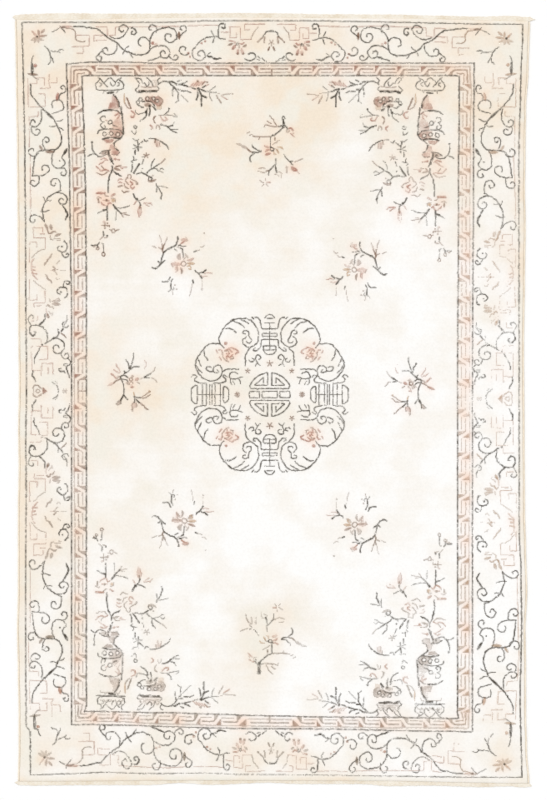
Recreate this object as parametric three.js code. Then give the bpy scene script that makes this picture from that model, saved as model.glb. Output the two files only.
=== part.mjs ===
// Hand-knotted wool rug of about 2 m by 3 m, lying flat: the knotted pile carpet, an overcast
// cord along each long side, and a narrow flat-woven band across each end.
// Millimetres, +Z up. X runs across the rug and Y along it. The origin is the middle of the
// bounding box, on the underside.
import * as THREE from 'three';

// Heights above the floor
const PILE_HEIGHT = 6.0;
const CORD_HEIGHT = 6.2;
const BAND_HEIGHT = 2.8;

// Sizes across the edges
const CORD_WIDTH = 7.0;
const SEAM_GAP = 0.3;

// Reach of the corner tails, which give the widest points, and of the two ends
const TAIL_REACH = 1020;
const END_REACH = 1510;

// How much the pile's surface swells and sinks, and over what lengths
const SWELL = 0.35;
const SWELL_ACROSS = 410;
const SWELL_ALONG = 530;

// Steps of the solids across and along the rug, shared by pieces that lie side by side
const STEPS_ACROSS = 36;
const STEPS_ALONG = 48;

// Each long side, from the bottom end to the top end: how far along, and where the outer edge lies
const LEFT_SIDE = [
  { along: -1490, x: -999 },
  { along: -1365, x: -996 },
  { along: -1210, x: -996 },
  { along: -1050, x: -999 },
  { along: -896, x: -1002 },
  { along: -740, x: -999 },
  { along: -428, x: -999 },
  { along: -270, x: -996 },
  { along: -116, x: -998 },
  { along: 40, x: -995 },
  { along: 350, x: -998 },
  { along: 665, x: -1000 },
  { along: 976, x: -1002 },
  { along: 1132, x: -1005 },
  { along: 1288, x: -1007 },
  { along: 1490, x: -1010 },
];
const RIGHT_SIDE = [
  { along: -1490, x: 996 },
  { along: -1365, x: 987 },
  { along: -1210, x: 983 },
  { along: -1050, x: 983 },
  { along: -896, x: 981 },
  { along: -740, x: 988 },
  { along: -584, x: 983 },
  { along: -428, x: 979 },
  { along: -116, x: 977 },
  { along: 196, x: 975 },
  { along: 508, x: 979 },
  { along: 665, x: 982 },
  { along: 821, x: 979 },
  { along: 976, x: 981 },
  { along: 1132, x: 983 },
  { along: 1288, x: 993 },
  { along: 1490, x: 999 },
];

// Each end, from left to right: where the band's outer edge lies
const TOP_END = [
  { across: -1010, y: 1502 },
  { across: -950, y: 1506 },
  { across: -835, y: 1509 },
  { across: -600, y: 1507 },
  { across: -365, y: 1508 },
  { across: -190, y: END_REACH },
  { across: -15, y: 1509 },
  { across: 220, y: 1505 },
  { across: 450, y: 1504 },
  { across: 610, y: 1500 },
  { across: 805, y: 1496 },
  { across: 920, y: 1499 },
  { across: 1000, y: 1494 },
];
const BOTTOM_END = [
  { across: -1000, y: -1500 },
  { across: -950, y: -1502 },
  { across: -720, y: -1500 },
  { across: -485, y: -1500 },
  { across: -366, y: -1492 },
  { across: -250, y: -1499 },
  { across: -15, y: -1491 },
  { across: 100, y: -1496 },
  { across: 335, y: -1496 },
  { across: 450, y: -1504 },
  { across: 610, y: -1502 },
  { across: 805, y: -1508 },
  { across: 920, y: -1505 },
  { across: 975, y: -END_REACH },
  { across: 1000, y: -1506 },
];

// Where the pile stops and the flat-woven bands start, from left to right
const TOP_PILE = [
  { across: -1010, y: 1482 },
  { across: -190, y: 1492 },
  { across: 450, y: 1488 },
  { across: 1000, y: 1477 },
];
const BOTTOM_PILE = [
  { across: -1000, y: -1485 },
  { across: -250, y: -1481 },
  { across: 335, y: -1483 },
  { across: 1000, y: -1493 },
];

// Corner tails: from the pile to the outer edge of a band, how far a corner sticks out
const TAIL_AT = [0, 0.2, 0.42, 0.6, 0.8, 1];
const TAILS = {
  topLeft: { shape: [0, 0.1, 0.55, 1, 0.42, 0], reach: TAIL_REACH - 1010 },
  topRight: { shape: [0, 0.3, 1, 0.6, 0.22, 0], reach: TAIL_REACH - 1000 },
  bottomLeft: { shape: [0, 0.5, 1, 0.5, 0.2, 0], reach: 13 },
  bottomRight: { shape: [0, 0.2, 0.5, 0.8, 1, 0.6], reach: 8 },
};

// A value read smoothly from a table's rows
function readTable(rows, key, value, at) {
  const last = rows.length - 1;
  let i = 0;
  while (i < last - 1 && at > rows[i + 1][key]) {
    i += 1;
  }
  const a = rows[i];
  const b = rows[i + 1];
  const t = THREE.MathUtils.clamp((at - a[key]) / (b[key] - a[key]), 0, 1);
  return THREE.MathUtils.lerp(a[value], b[value], THREE.MathUtils.smoothstep(t, 0, 1));
}

const leftEdge = (y) => readTable(LEFT_SIDE, 'along', 'x', y);
const rightEdge = (y) => readTable(RIGHT_SIDE, 'along', 'x', y);
const topPile = (x) => readTable(TOP_PILE, 'across', 'y', x);
const topOuter = (x) => readTable(TOP_END, 'across', 'y', x);
const bottomPile = (x) => readTable(BOTTOM_PILE, 'across', 'y', x);
const bottomOuter = (x) => readTable(BOTTOM_END, 'across', 'y', x);

// Even steps from 0 to 1
function steps(count) {
  return Array.from({ length: count + 1 }, (_, i) => i / count);
}

// Point of a four-sided sheet whose sides are functions, drawn in from its edge by an inset.
// The place across and the place along depend on each other, and settle in a few passes.
function sheetPoint(sides, s, t, inset) {
  const passes = 4;
  let x = 0;
  let y = 0;
  for (let pass = 0; pass < passes; pass += 1) {
    x = THREE.MathUtils.lerp(sides.left(t, y) + inset, sides.right(t, y) - inset, s);
    y = THREE.MathUtils.lerp(sides.bottom(x) + inset, sides.top(x) - inset, t);
  }
  return [x, y];
}

// The grid places round the rim of a sheet, counter-clockwise from its lower left corner
function rimPlaces(columns, rows) {
  const lastColumn = columns.length - 1;
  const lastRow = rows.length - 1;
  const places = [];
  for (let i = 0; i < lastColumn; i += 1) {
    places.push([i, 0]);
  }
  for (let j = 0; j < lastRow; j += 1) {
    places.push([lastColumn, j]);
  }
  for (let i = lastColumn; i > 0; i -= 1) {
    places.push([i, lastRow]);
  }
  for (let j = lastRow; j > 0; j -= 1) {
    places.push([0, j]);
  }
  return places;
}

// Closed sheet: a gridded top of the given height, a wall of rings, and a flat underside.
// Each ring of the wall has a height and an inset from the outline.
function sheet(sides, columns, rows, ringTable, topInset, height) {
  const positions = [];
  const index = [];
  const topAt = (i, j) => j * columns.length + i;
  for (const t of rows) {
    for (const s of columns) {
      const [x, y] = sheetPoint(sides, s, t, topInset);
      positions.push(x, y, height(x, y, s, t));
    }
  }
  for (let j = 0; j < rows.length - 1; j += 1) {
    for (let i = 0; i < columns.length - 1; i += 1) {
      index.push(topAt(i, j), topAt(i + 1, j), topAt(i + 1, j + 1));
      index.push(topAt(i, j), topAt(i + 1, j + 1), topAt(i, j + 1));
    }
  }
  const places = rimPlaces(columns, rows);
  let upper = places.map(([i, j]) => topAt(i, j));
  for (const ring of ringTable) {
    const start = positions.length / 3;
    for (const [i, j] of places) {
      const [x, y] = sheetPoint(sides, columns[i], rows[j], ring.inset);
      positions.push(x, y, ring.z);
    }
    const lower = places.map((_, k) => start + k);
    for (let k = 0; k < places.length; k += 1) {
      const next = (k + 1) % places.length;
      index.push(lower[k], lower[next], upper[next]);
      index.push(lower[k], upper[next], upper[k]);
    }
    upper = lower;
  }
  const rim = upper.map((v) => new THREE.Vector2(positions[3 * v], positions[3 * v + 1]));
  for (const [a, b, c] of THREE.ShapeUtils.triangulateShape(rim, [])) {
    index.push(upper[c], upper[b], upper[a]);
  }
  const geometry = new THREE.BufferGeometry();
  geometry.setAttribute('position', new THREE.Float32BufferAttribute(positions, 3));
  geometry.setIndex(index);
  geometry.computeVertexNormals();
  return geometry;
}

// The pile's surface, which swells a little here and sinks a little there
function pileSurface(x, y) {
  const across = Math.sin((2 * Math.PI * x) / SWELL_ACROSS + y / SWELL_ALONG);
  const along = Math.cos((2 * Math.PI * y) / SWELL_ALONG - x / SWELL_ACROSS);
  return PILE_HEIGHT + SWELL * across * along;
}

// Knotted pile carpet, with softened upper edges
function pileCarpet() {
  const inner = CORD_WIDTH + SEAM_GAP;
  const sides = {
    left: (t, y) => leftEdge(y) + inner,
    right: (t, y) => rightEdge(y) - inner,
    bottom: bottomPile,
    top: topPile,
  };
  const shoulderZ = PILE_HEIGHT - SWELL - 1.4;
  const rings = [
    { z: shoulderZ, inset: 0 },
    { z: 0.8, inset: 0 },
    { z: 0, inset: 0.6 },
  ];
  const sink = 0.3;
  const atRim = (s, t) => s === 0 || s === 1 || t === 0 || t === 1;
  const height = (x, y, s, t) => pileSurface(x, y) - (atRim(s, t) ? sink : 0);
  return sheet(sides, steps(STEPS_ACROSS), steps(STEPS_ALONG), rings, 1.8, height);
}

// Overcast cord along one long side: an oval in section
function sideCord(outerEdge, outward) {
  const near = (y) => outerEdge(y);
  const far = (y) => outerEdge(y) - outward * CORD_WIDTH;
  const sides = {
    left: (t, y) => Math.min(near(y), far(y)),
    right: (t, y) => Math.max(near(y), far(y)),
    bottom: bottomPile,
    top: topPile,
  };
  const rings = [
    { z: CORD_HEIGHT * 0.5, inset: 0 },
    { z: CORD_HEIGHT * 0.2, inset: 0.3 },
    { z: 0, inset: 1.5 },
  ];
  const columns = [0, 0.28, 0.72, 1];
  const rimHeight = CORD_HEIGHT * 0.82;
  const crest = CORD_HEIGHT;
  const height = (x, y, s) => (s === 0 || s === 1 ? rimHeight : crest);
  return sheet(sides, columns, steps(STEPS_ALONG), rings, 0.9, height);
}

// Flat-woven band across one end, with a tail at each corner
function endBand(ending) {
  const reach = (tail, t) => {
    const at = ending.fromPile(t);
    let i = 0;
    while (i < TAIL_AT.length - 2 && at > TAIL_AT[i + 1]) {
      i += 1;
    }
    const share = (at - TAIL_AT[i]) / (TAIL_AT[i + 1] - TAIL_AT[i]);
    return tail.reach * THREE.MathUtils.lerp(tail.shape[i], tail.shape[i + 1], share);
  };
  const sides = {
    left: (t) => ending.leftX - reach(ending.leftTail, t),
    right: (t) => ending.rightX + reach(ending.rightTail, t),
    bottom: ending.bottom,
    top: ending.top,
  };
  const rings = [
    { z: BAND_HEIGHT * 0.55, inset: 0 },
    { z: 0, inset: 0.3 },
  ];
  const columns = [0, 0.004, ...steps(STEPS_ACROSS).slice(1, -1), 0.996, 1];
  const rows = ending.rows;
  const rimHeight = BAND_HEIGHT * 0.86;
  const crest = BAND_HEIGHT;
  const height = (x, y, s, t) => (t === 0 || t === 1 || s === 0 || s === 1 ? rimHeight : crest);
  return sheet(sides, columns, rows, rings, 0.4, height);
}

const endings = {
  top: {
    leftX: -1010,
    rightX: 1000,
    leftTail: TAILS.topLeft,
    rightTail: TAILS.topRight,
    rows: TAIL_AT,
    fromPile: (t) => t,
    bottom: (x) => topPile(x) + SEAM_GAP,
    top: topOuter,
  },
  bottom: {
    leftX: -999,
    rightX: 997,
    leftTail: TAILS.bottomLeft,
    rightTail: TAILS.bottomRight,
    rows: TAIL_AT.map((at) => 1 - at).reverse(),
    fromPile: (t) => 1 - t,
    bottom: bottomOuter,
    top: (x) => bottomPile(x) - SEAM_GAP,
  },
};

// Wool pile, cream to apricot, dull
const pileWool = new THREE.MeshStandardMaterial({
  color: new THREE.Color(0xe9dccb),
  roughness: 0.95,
  metalness: 0,
});

// Overcast wool of the side cords, greyish beige
const cordWool = new THREE.MeshStandardMaterial({
  color: new THREE.Color(0xd3cbb9),
  roughness: 0.9,
  metalness: 0,
});

// Flat-woven end bands, undyed and slightly yellowed
const bandYarn = new THREE.MeshStandardMaterial({
  color: new THREE.Color(0xe2d6c0),
  roughness: 0.92,
  metalness: 0,
});

function piece(name, geometry, material) {
  const mesh = new THREE.Mesh(geometry, material);
  mesh.name = name;
  return mesh;
}

const rug = new THREE.Group();
rug.add(piece('pile_carpet', pileCarpet(), pileWool));
rug.add(piece('selvedge_left', sideCord(leftEdge, -1), cordWool));
rug.add(piece('selvedge_right', sideCord(rightEdge, 1), cordWool));
rug.add(piece('kilim_top', endBand(endings.top), bandYarn));
rug.add(piece('kilim_bottom', endBand(endings.bottom), bandYarn));

export default rug;
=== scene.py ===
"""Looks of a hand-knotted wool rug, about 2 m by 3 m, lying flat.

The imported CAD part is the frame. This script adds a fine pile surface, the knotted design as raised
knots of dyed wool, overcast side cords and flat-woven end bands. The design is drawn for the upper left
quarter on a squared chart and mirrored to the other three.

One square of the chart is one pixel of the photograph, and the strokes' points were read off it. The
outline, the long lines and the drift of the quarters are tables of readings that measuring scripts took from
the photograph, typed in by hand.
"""

import logging
import math
from collections.abc import Callable, Sequence
from dataclasses import dataclass, field, replace
from enum import Enum

import bpy
import numpy as np
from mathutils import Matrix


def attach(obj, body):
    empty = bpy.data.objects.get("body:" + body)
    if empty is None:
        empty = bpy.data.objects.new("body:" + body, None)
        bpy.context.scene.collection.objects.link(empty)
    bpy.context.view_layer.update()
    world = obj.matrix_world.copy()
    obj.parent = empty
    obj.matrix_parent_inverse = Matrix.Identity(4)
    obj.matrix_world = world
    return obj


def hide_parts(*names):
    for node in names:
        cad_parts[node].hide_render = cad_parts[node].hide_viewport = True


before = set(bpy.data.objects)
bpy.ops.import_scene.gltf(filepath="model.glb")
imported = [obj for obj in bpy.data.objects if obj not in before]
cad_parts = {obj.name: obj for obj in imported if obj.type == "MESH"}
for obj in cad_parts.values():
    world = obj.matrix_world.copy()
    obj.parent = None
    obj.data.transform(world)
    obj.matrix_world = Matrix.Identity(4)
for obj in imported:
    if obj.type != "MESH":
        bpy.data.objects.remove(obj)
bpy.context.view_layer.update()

LOG = logging.getLogger("rug")

Point = tuple[float, float]
Table = Sequence[Point]
Colour = tuple[float, float, float]

# Column, row, half-width, half-height and amount of a soft patch
Patch = tuple[float, float, float, float, float]

MM = 0.001

# The design chart: one square is this long on the rug, and this place on the chart is the rug's middle
SQUARE = 0.0039
CHART_MIDDLE = (274.0, 400.25)


def linear(red: int, green: int, blue: int) -> Colour:
    """Returns an 8-bit screen colour as linear light."""
    return tuple(
        v / 3294.6 if v <= 10 else ((v / 255 + 0.055) / 1.055) ** 2.4 for v in (red, green, blue)
    )


def read_table(table: Table, at: np.ndarray | float) -> np.ndarray:
    """Reads a value smoothly between a table's rows.

    Args:
        table: Rows of (place, value), places rising.
        at: Places to read at.

    Returns:
        The values there, held level past both ends.
    """
    rows = np.asarray(table, float)
    place = np.clip(np.asarray(at, float), rows[0, 0], rows[-1, 0])
    low = np.clip(np.searchsorted(rows[:, 0], place) - 1, 0, len(rows) - 2)
    share = (place - rows[low, 0]) / (rows[low + 1, 0] - rows[low, 0])
    share = share * share * (3 - 2 * share)
    return rows[low, 1] * (1 - share) + rows[low + 1, 1] * share


def on_chart(x: np.ndarray, y: np.ndarray) -> tuple[np.ndarray, np.ndarray]:
    """Returns the columns and rows of the chart at places in metres."""
    return x / SQUARE + CHART_MIDDLE[0], CHART_MIDDLE[1] - y / SQUARE


def add_patches(
    value: np.ndarray, place: tuple[np.ndarray, np.ndarray], patches: Sequence[Patch]
) -> np.ndarray:
    """Adds soft patches to values.

    Args:
        value: The values, changed in place.
        place: Columns and rows that they lie at.
        patches: The patches.

    Returns:
        The values with the patches added.
    """
    column, row = place
    for at_column, at_row, wide, tall, amount in patches:
        value += amount * np.exp(-(((column - at_column) / wide) ** 2) - ((row - at_row) / tall) ** 2)
    return value


def smooth_noise(shape: tuple[int, int], cells: tuple[int, int], seed: int) -> np.ndarray:
    """Makes soft seeded noise.

    Args:
        shape: Rows and columns wanted.
        cells: How many cells of noise lie along each of them.
        seed: Seed of the noise.

    Returns:
        Values from 0 to 1.
    """
    coarse = np.random.default_rng(seed).random((cells[0] + 2, cells[1] + 2))
    rows = np.linspace(0, cells[0], shape[0])
    columns = np.linspace(0, cells[1], shape[1])
    i, j = rows.astype(int), columns.astype(int)
    u = rows - i
    v = columns - j
    u = (u * u * (3 - 2 * u))[:, None]
    v = (v * v * (3 - 2 * v))[None, :]
    upper = coarse[i][:, j] * (1 - v) + coarse[i][:, j + 1] * v
    lower = coarse[i + 1][:, j] * (1 - v) + coarse[i + 1][:, j + 1] * v
    return upper * (1 - u) + lower * u


@dataclass(frozen=True)
class RugShape:
    """Sizes and uneven outline of the whole rug, in millimetres, as in the CAD part.

    Most of the outline's points are readings of the photograph's edge, taken by a measuring script.
    """

    pile_height: float = 6.0
    cord_height: float = 6.2
    band_height: float = 2.8
    cord_width: float = 7.0
    seam_gap: float = 0.3
    swell: float = 0.35
    swell_across: float = 410.0
    swell_along: float = 530.0
    left_side: Table = (
        (-1490, -999), (-1365, -996), (-1210, -996), (-1050, -999), (-896, -1002), (-740, -999),
        (-428, -999), (-270, -996), (-116, -998), (40, -995), (350, -998), (665, -1000), (976, -1002),
        (1132, -1005), (1288, -1007), (1490, -1010),
    )
    right_side: Table = (
        (-1490, 996), (-1365, 987), (-1210, 983), (-1050, 983), (-896, 981), (-740, 988), (-584, 983),
        (-428, 979), (-116, 977), (196, 975), (508, 979), (665, 982), (821, 979), (976, 981),
        (1132, 983), (1288, 993), (1490, 999),
    )
    top_end: Table = (
        (-1010, 1502), (-950, 1506), (-835, 1509), (-600, 1507), (-365, 1508), (-190, 1510),
        (-15, 1509), (220, 1505), (450, 1504), (610, 1500), (805, 1496), (920, 1499), (1000, 1494),
    )
    bottom_end: Table = (
        (-1000, -1500), (-950, -1502), (-720, -1500), (-485, -1500), (-366, -1492), (-250, -1499),
        (-15, -1491), (100, -1496), (335, -1496), (450, -1504), (610, -1502), (805, -1508),
        (920, -1505), (975, -1510), (1000, -1506),
    )
    top_pile: Table = ((-1010, 1482), (-190, 1492), (450, 1488), (1000, 1477))
    bottom_pile: Table = ((-1000, -1485), (-250, -1481), (335, -1483), (1000, -1493))

    def surface(self, x: np.ndarray, y: np.ndarray) -> np.ndarray:
        """Returns the height of the pile in metres at places in metres."""
        across = np.sin(2 * np.pi * x / (self.swell_across * MM) + y / (self.swell_along * MM))
        along = np.cos(2 * np.pi * y / (self.swell_along * MM) - x / (self.swell_across * MM))
        return (self.pile_height + self.swell * across * along) * MM

    def edge(self, table: Table, at: np.ndarray) -> np.ndarray:
        """Returns an outline table's value in metres at places in metres."""
        return read_table(table, np.asarray(at) / MM) * MM


SHAPE = RugShape()


@dataclass(frozen=True)
class Sides:
    """The four sides of a sheet, in metres, as functions of the other direction."""

    left: Callable[[np.ndarray, np.ndarray], np.ndarray]
    right: Callable[[np.ndarray, np.ndarray], np.ndarray]
    bottom: Callable[[np.ndarray], np.ndarray]
    top: Callable[[np.ndarray], np.ndarray]

    def grid(self, across: np.ndarray, along: np.ndarray) -> tuple[np.ndarray, np.ndarray]:
        """Spreads a grid between the four sides.

        Args:
            across: Shares from the left side to the right one.
            along: Shares from the bottom side to the top one.

        Returns:
            The x and y of every grid point, rows along and columns across.
        """
        s, t = np.meshgrid(across, along)
        x = np.zeros_like(s)
        y = np.zeros_like(s)
        for _ in range(4):
            low, high = self.left(t, y), self.right(t, y)
            x = low + (high - low) * s
            low, high = self.bottom(x), self.top(x)
            y = low + (high - low) * t
        return x, y


class MeshMaker:
    """Builds meshes from arrays."""

    @staticmethod
    def build(name: str, points: np.ndarray, faces: list[np.ndarray]) -> bpy.types.Object:
        """Makes an object from points and faces.

        Args:
            name: Name of the piece.
            points: One row of x, y, z a point, in metres.
            faces: Arrays of faces, each array with its own number of corners.

        Returns:
            The new object, in the scene.
        """
        mesh = bpy.data.meshes.new(name)
        counts = np.concatenate([np.full(len(f), f.shape[1]) for f in faces])
        corners = np.concatenate([f.ravel() for f in faces])
        mesh.vertices.add(len(points))
        mesh.vertices.foreach_set("co", np.asarray(points, np.float32).ravel())
        mesh.loops.add(len(corners))
        mesh.loops.foreach_set("vertex_index", corners.astype(np.int32))
        mesh.polygons.add(len(counts))
        starts = np.concatenate([[0], np.cumsum(counts)[:-1]])
        mesh.polygons.foreach_set("loop_start", starts.astype(np.int32))
        mesh.update(calc_edges=True)
        mesh.validate()
        made = bpy.data.objects.new(name, mesh)
        bpy.context.scene.collection.objects.link(made)
        return made

    @staticmethod
    def flat_uv(made: bpy.types.Object) -> None:
        """Lays the piece out seen from above, filling the baking square."""
        mesh = made.data
        co = np.zeros(len(mesh.vertices) * 3, np.float32)
        mesh.vertices.foreach_get("co", co)
        plan = co.reshape(-1, 3)[:, :2]
        low, high = plan.min(0), plan.max(0)
        plan = (plan - low) / (high - low) * 0.996 + 0.002
        index = np.zeros(len(mesh.loops), np.int32)
        mesh.loops.foreach_get("vertex_index", index)
        layer = mesh.uv_layers.new(name="OFBake")
        layer.data.foreach_set("uv", plan[index].astype(np.float32).ravel())

    @staticmethod
    def give(made: bpy.types.Object, name: str, domain: str, values: np.ndarray) -> None:
        """Stores values on a piece's points or corners.

        Args:
            made: The piece.
            name: Name of the attribute.
            domain: POINT or CORNER.
            values: One number, or one row of four, for each.
        """
        many = values.ndim == 2
        kind = "FLOAT_COLOR" if many else "FLOAT"
        layer = made.data.attributes.new(name, kind, domain)
        layer.data.foreach_set("color" if many else "value", values.astype(np.float32).ravel())

    @staticmethod
    def closed_sheet(name: str, top: np.ndarray, rings: Sequence[np.ndarray]) -> bpy.types.Object:
        """Closes a gridded top with a wall of rings and one flat face below.

        Args:
            name: Name of the piece.
            top: Grid of points, rows by columns by x, y, z.
            rings: Rims below the top's own, each with one point for each rim point.

        Returns:
            The new object.
        """
        rows, columns = top.shape[:2]
        points = [top.reshape(-1, 3)]
        at = np.arange(rows * columns).reshape(rows, columns)
        faces = [np.stack([at[:-1, :-1], at[:-1, 1:], at[1:, 1:], at[1:, :-1]], -1).reshape(-1, 4)]
        upper = MeshMaker.rim(at)
        start = rows * columns
        for ring in rings:
            points.append(ring)
            lower = start + np.arange(len(ring))
            start += len(ring)
            faces.append(np.stack([lower, np.roll(lower, -1), np.roll(upper, -1), upper], -1))
            upper = lower
        faces.append(upper[::-1][None, :])
        return MeshMaker.build(name, np.concatenate(points), faces)

    @staticmethod
    def rim(grid: np.ndarray) -> np.ndarray:
        """Returns a grid's rim, counter-clockwise from its lower left corner."""
        return np.concatenate([grid[0, :-1], grid[:-1, -1], grid[-1, :0:-1], grid[:0:-1, 0]])


class Shader:
    """Builds one node material."""

    def __init__(self, name: str) -> None:
        """Starts a material with a plain surface."""
        self.material = bpy.data.materials.new(name)
        self.material.use_nodes = True
        self.tree = self.material.node_tree
        self.tree.nodes.clear()
        self.output = self.tree.nodes.new("ShaderNodeOutputMaterial")
        self.surface = self.tree.nodes.new("ShaderNodeBsdfPrincipled")
        self.tree.links.new(self.surface.outputs[0], self.output.inputs[0])
        self.place = self.tree.nodes.new("ShaderNodeTexCoord").outputs["Object"]

    def link(self, source: bpy.types.NodeSocket, target: bpy.types.NodeSocket) -> None:
        """Joins two sockets."""
        self.tree.links.new(source, target)

    def attribute(self, name: str, output: str = "Fac") -> bpy.types.NodeSocket:
        """Returns an attribute of the mesh."""
        node = self.tree.nodes.new("ShaderNodeAttribute")
        node.attribute_name = name
        return node.outputs[output]

    def noise(
        self, scale: float, detail: float = 2.0, stretch: Sequence[float] = (1, 1, 1),
    ) -> bpy.types.NodeSocket:
        """Adds noise over the rug.

        Args:
            scale: Cells a metre.
            detail: Octaves of finer noise.
            stretch: Share of the scale along each axis.

        Returns:
            The noise, from 0 to 1.
        """
        mapping = self.tree.nodes.new("ShaderNodeMapping")
        mapping.inputs["Scale"].default_value = stretch
        self.link(self.place, mapping.inputs["Vector"])
        node = self.tree.nodes.new("ShaderNodeTexNoise")
        node.inputs["Scale"].default_value = scale
        node.inputs["Detail"].default_value = detail
        self.link(mapping.outputs[0], node.inputs["Vector"])
        return node.outputs["Fac"]

    def cells(self, scale: float, stretch: Sequence[float] = (1, 1, 1)) -> bpy.types.NodeSocket:
        """Adds knot-like cells.

        Args:
            scale: Cells a metre.
            stretch: Share of the scale along each axis.

        Returns:
            Distance from each cell's middle.
        """
        mapping = self.tree.nodes.new("ShaderNodeMapping")
        mapping.inputs["Scale"].default_value = stretch
        self.link(self.place, mapping.inputs["Vector"])
        node = self.tree.nodes.new("ShaderNodeTexVoronoi")
        node.inputs["Scale"].default_value = scale
        self.link(mapping.outputs[0], node.inputs["Vector"])
        return node.outputs["Distance"]

    def level(self, source: bpy.types.NodeSocket, low: Point, high: Point) -> bpy.types.NodeSocket:
        """Maps a value's range to another.

        Args:
            source: The value.
            low: A value and what it becomes.
            high: A higher value and what it becomes.

        Returns:
            The mapped value, held level past both.
        """
        node = self.tree.nodes.new("ShaderNodeMapRange")
        self.link(source, node.inputs["Value"])
        node.inputs["From Min"].default_value = low[0]
        node.inputs["To Min"].default_value = low[1]
        node.inputs["From Max"].default_value = high[0]
        node.inputs["To Max"].default_value = high[1]
        return node.outputs[0]

    def sum(
        self, a: bpy.types.NodeSocket, b: bpy.types.NodeSocket, kind: str = "ADD",
    ) -> bpy.types.NodeSocket:
        """Returns two values added, or joined by another kind of sum."""
        node = self.tree.nodes.new("ShaderNodeMath")
        node.operation = kind
        self.link(a, node.inputs[0])
        self.link(b, node.inputs[1])
        return node.outputs[0]

    def mix(
        self,
        share: bpy.types.NodeSocket,
        a: bpy.types.NodeSocket | Colour,
        b: bpy.types.NodeSocket | Colour,
        kind: str = "MIX",
    ) -> bpy.types.NodeSocket:
        """Mixes two colours.

        Args:
            share: Share of the second.
            a: First colour, or a socket that gives it.
            b: Second colour, or a socket that gives it.
            kind: How they mix.

        Returns:
            The mixed colour.
        """
        node = self.tree.nodes.new("ShaderNodeMix")
        node.data_type = "RGBA"
        node.blend_type = kind
        self.link(share, node.inputs["Factor"])
        for socket, colour in ((node.inputs[6], a), (node.inputs[7], b)):
            if isinstance(colour, tuple):
                socket.default_value = (*colour, 1)
            else:
                self.link(colour, socket)
        return node.outputs[2]

    def shade(self, colour: bpy.types.NodeSocket, value: bpy.types.NodeSocket) -> bpy.types.NodeSocket:
        """Returns a colour made darker by a value from 0 to 1."""
        node = self.tree.nodes.new("ShaderNodeVectorMath")
        node.operation = "SCALE"
        self.link(colour, node.inputs[0])
        self.link(value, node.inputs["Scale"])
        return node.outputs[0]

    def bump(self, height: bpy.types.NodeSocket, depth: float, strength: float) -> None:
        """Roughens the surface.

        Args:
            height: Height from 0 to 1.
            depth: What a height of 1 is, in metres.
            strength: Share of the effect.
        """
        node = self.tree.nodes.new("ShaderNodeBump")
        node.inputs["Strength"].default_value = strength
        node.inputs["Distance"].default_value = depth
        self.link(height, node.inputs["Height"])
        self.link(node.outputs[0], self.surface.inputs["Normal"])

    def finish(self, colour: bpy.types.NodeSocket, roughness: float, sheen: float) -> bpy.types.Material:
        """Sets the surface's last values.

        Args:
            colour: Base colour.
            roughness: Roughness.
            sheen: Weight of the soft sheen of the fibres.

        Returns:
            The material.
        """
        self.link(colour, self.surface.inputs["Base Color"])
        self.surface.inputs["Roughness"].default_value = roughness
        self.surface.inputs["Sheen Weight"].default_value = sheen
        self.surface.inputs["Sheen Roughness"].default_value = 0.6
        self.surface.inputs["Specular IOR Level"].default_value = 0.12
        return self.material


class Dye(Enum):
    """Dyes of the design, strongest first where two meet."""

    CHARCOAL = 0
    BROWN = 1
    CLAY = 2
    ROSE = 3
    TAN = 4

    @property
    def colour(self) -> Colour:
        """The dyed wool's colour, worn and bleached a little."""
        shades = {
            Dye.CHARCOAL: linear(72, 64, 52),
            Dye.BROWN: linear(132, 100, 80),
            Dye.CLAY: linear(180, 135, 119),
            Dye.ROSE: linear(180, 132, 116),
            Dye.TAN: linear(204, 172, 140),
        }
        return shades[self]

    @property
    def faded(self) -> Colour:
        """The colour that light has turned it to in the lower half of the rug."""
        shades = {
            Dye.BROWN: linear(138, 122, 104),
            Dye.CLAY: linear(158, 142, 128),
            Dye.ROSE: linear(186, 146, 126),
        }
        return shades.get(self, self.colour)


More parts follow.
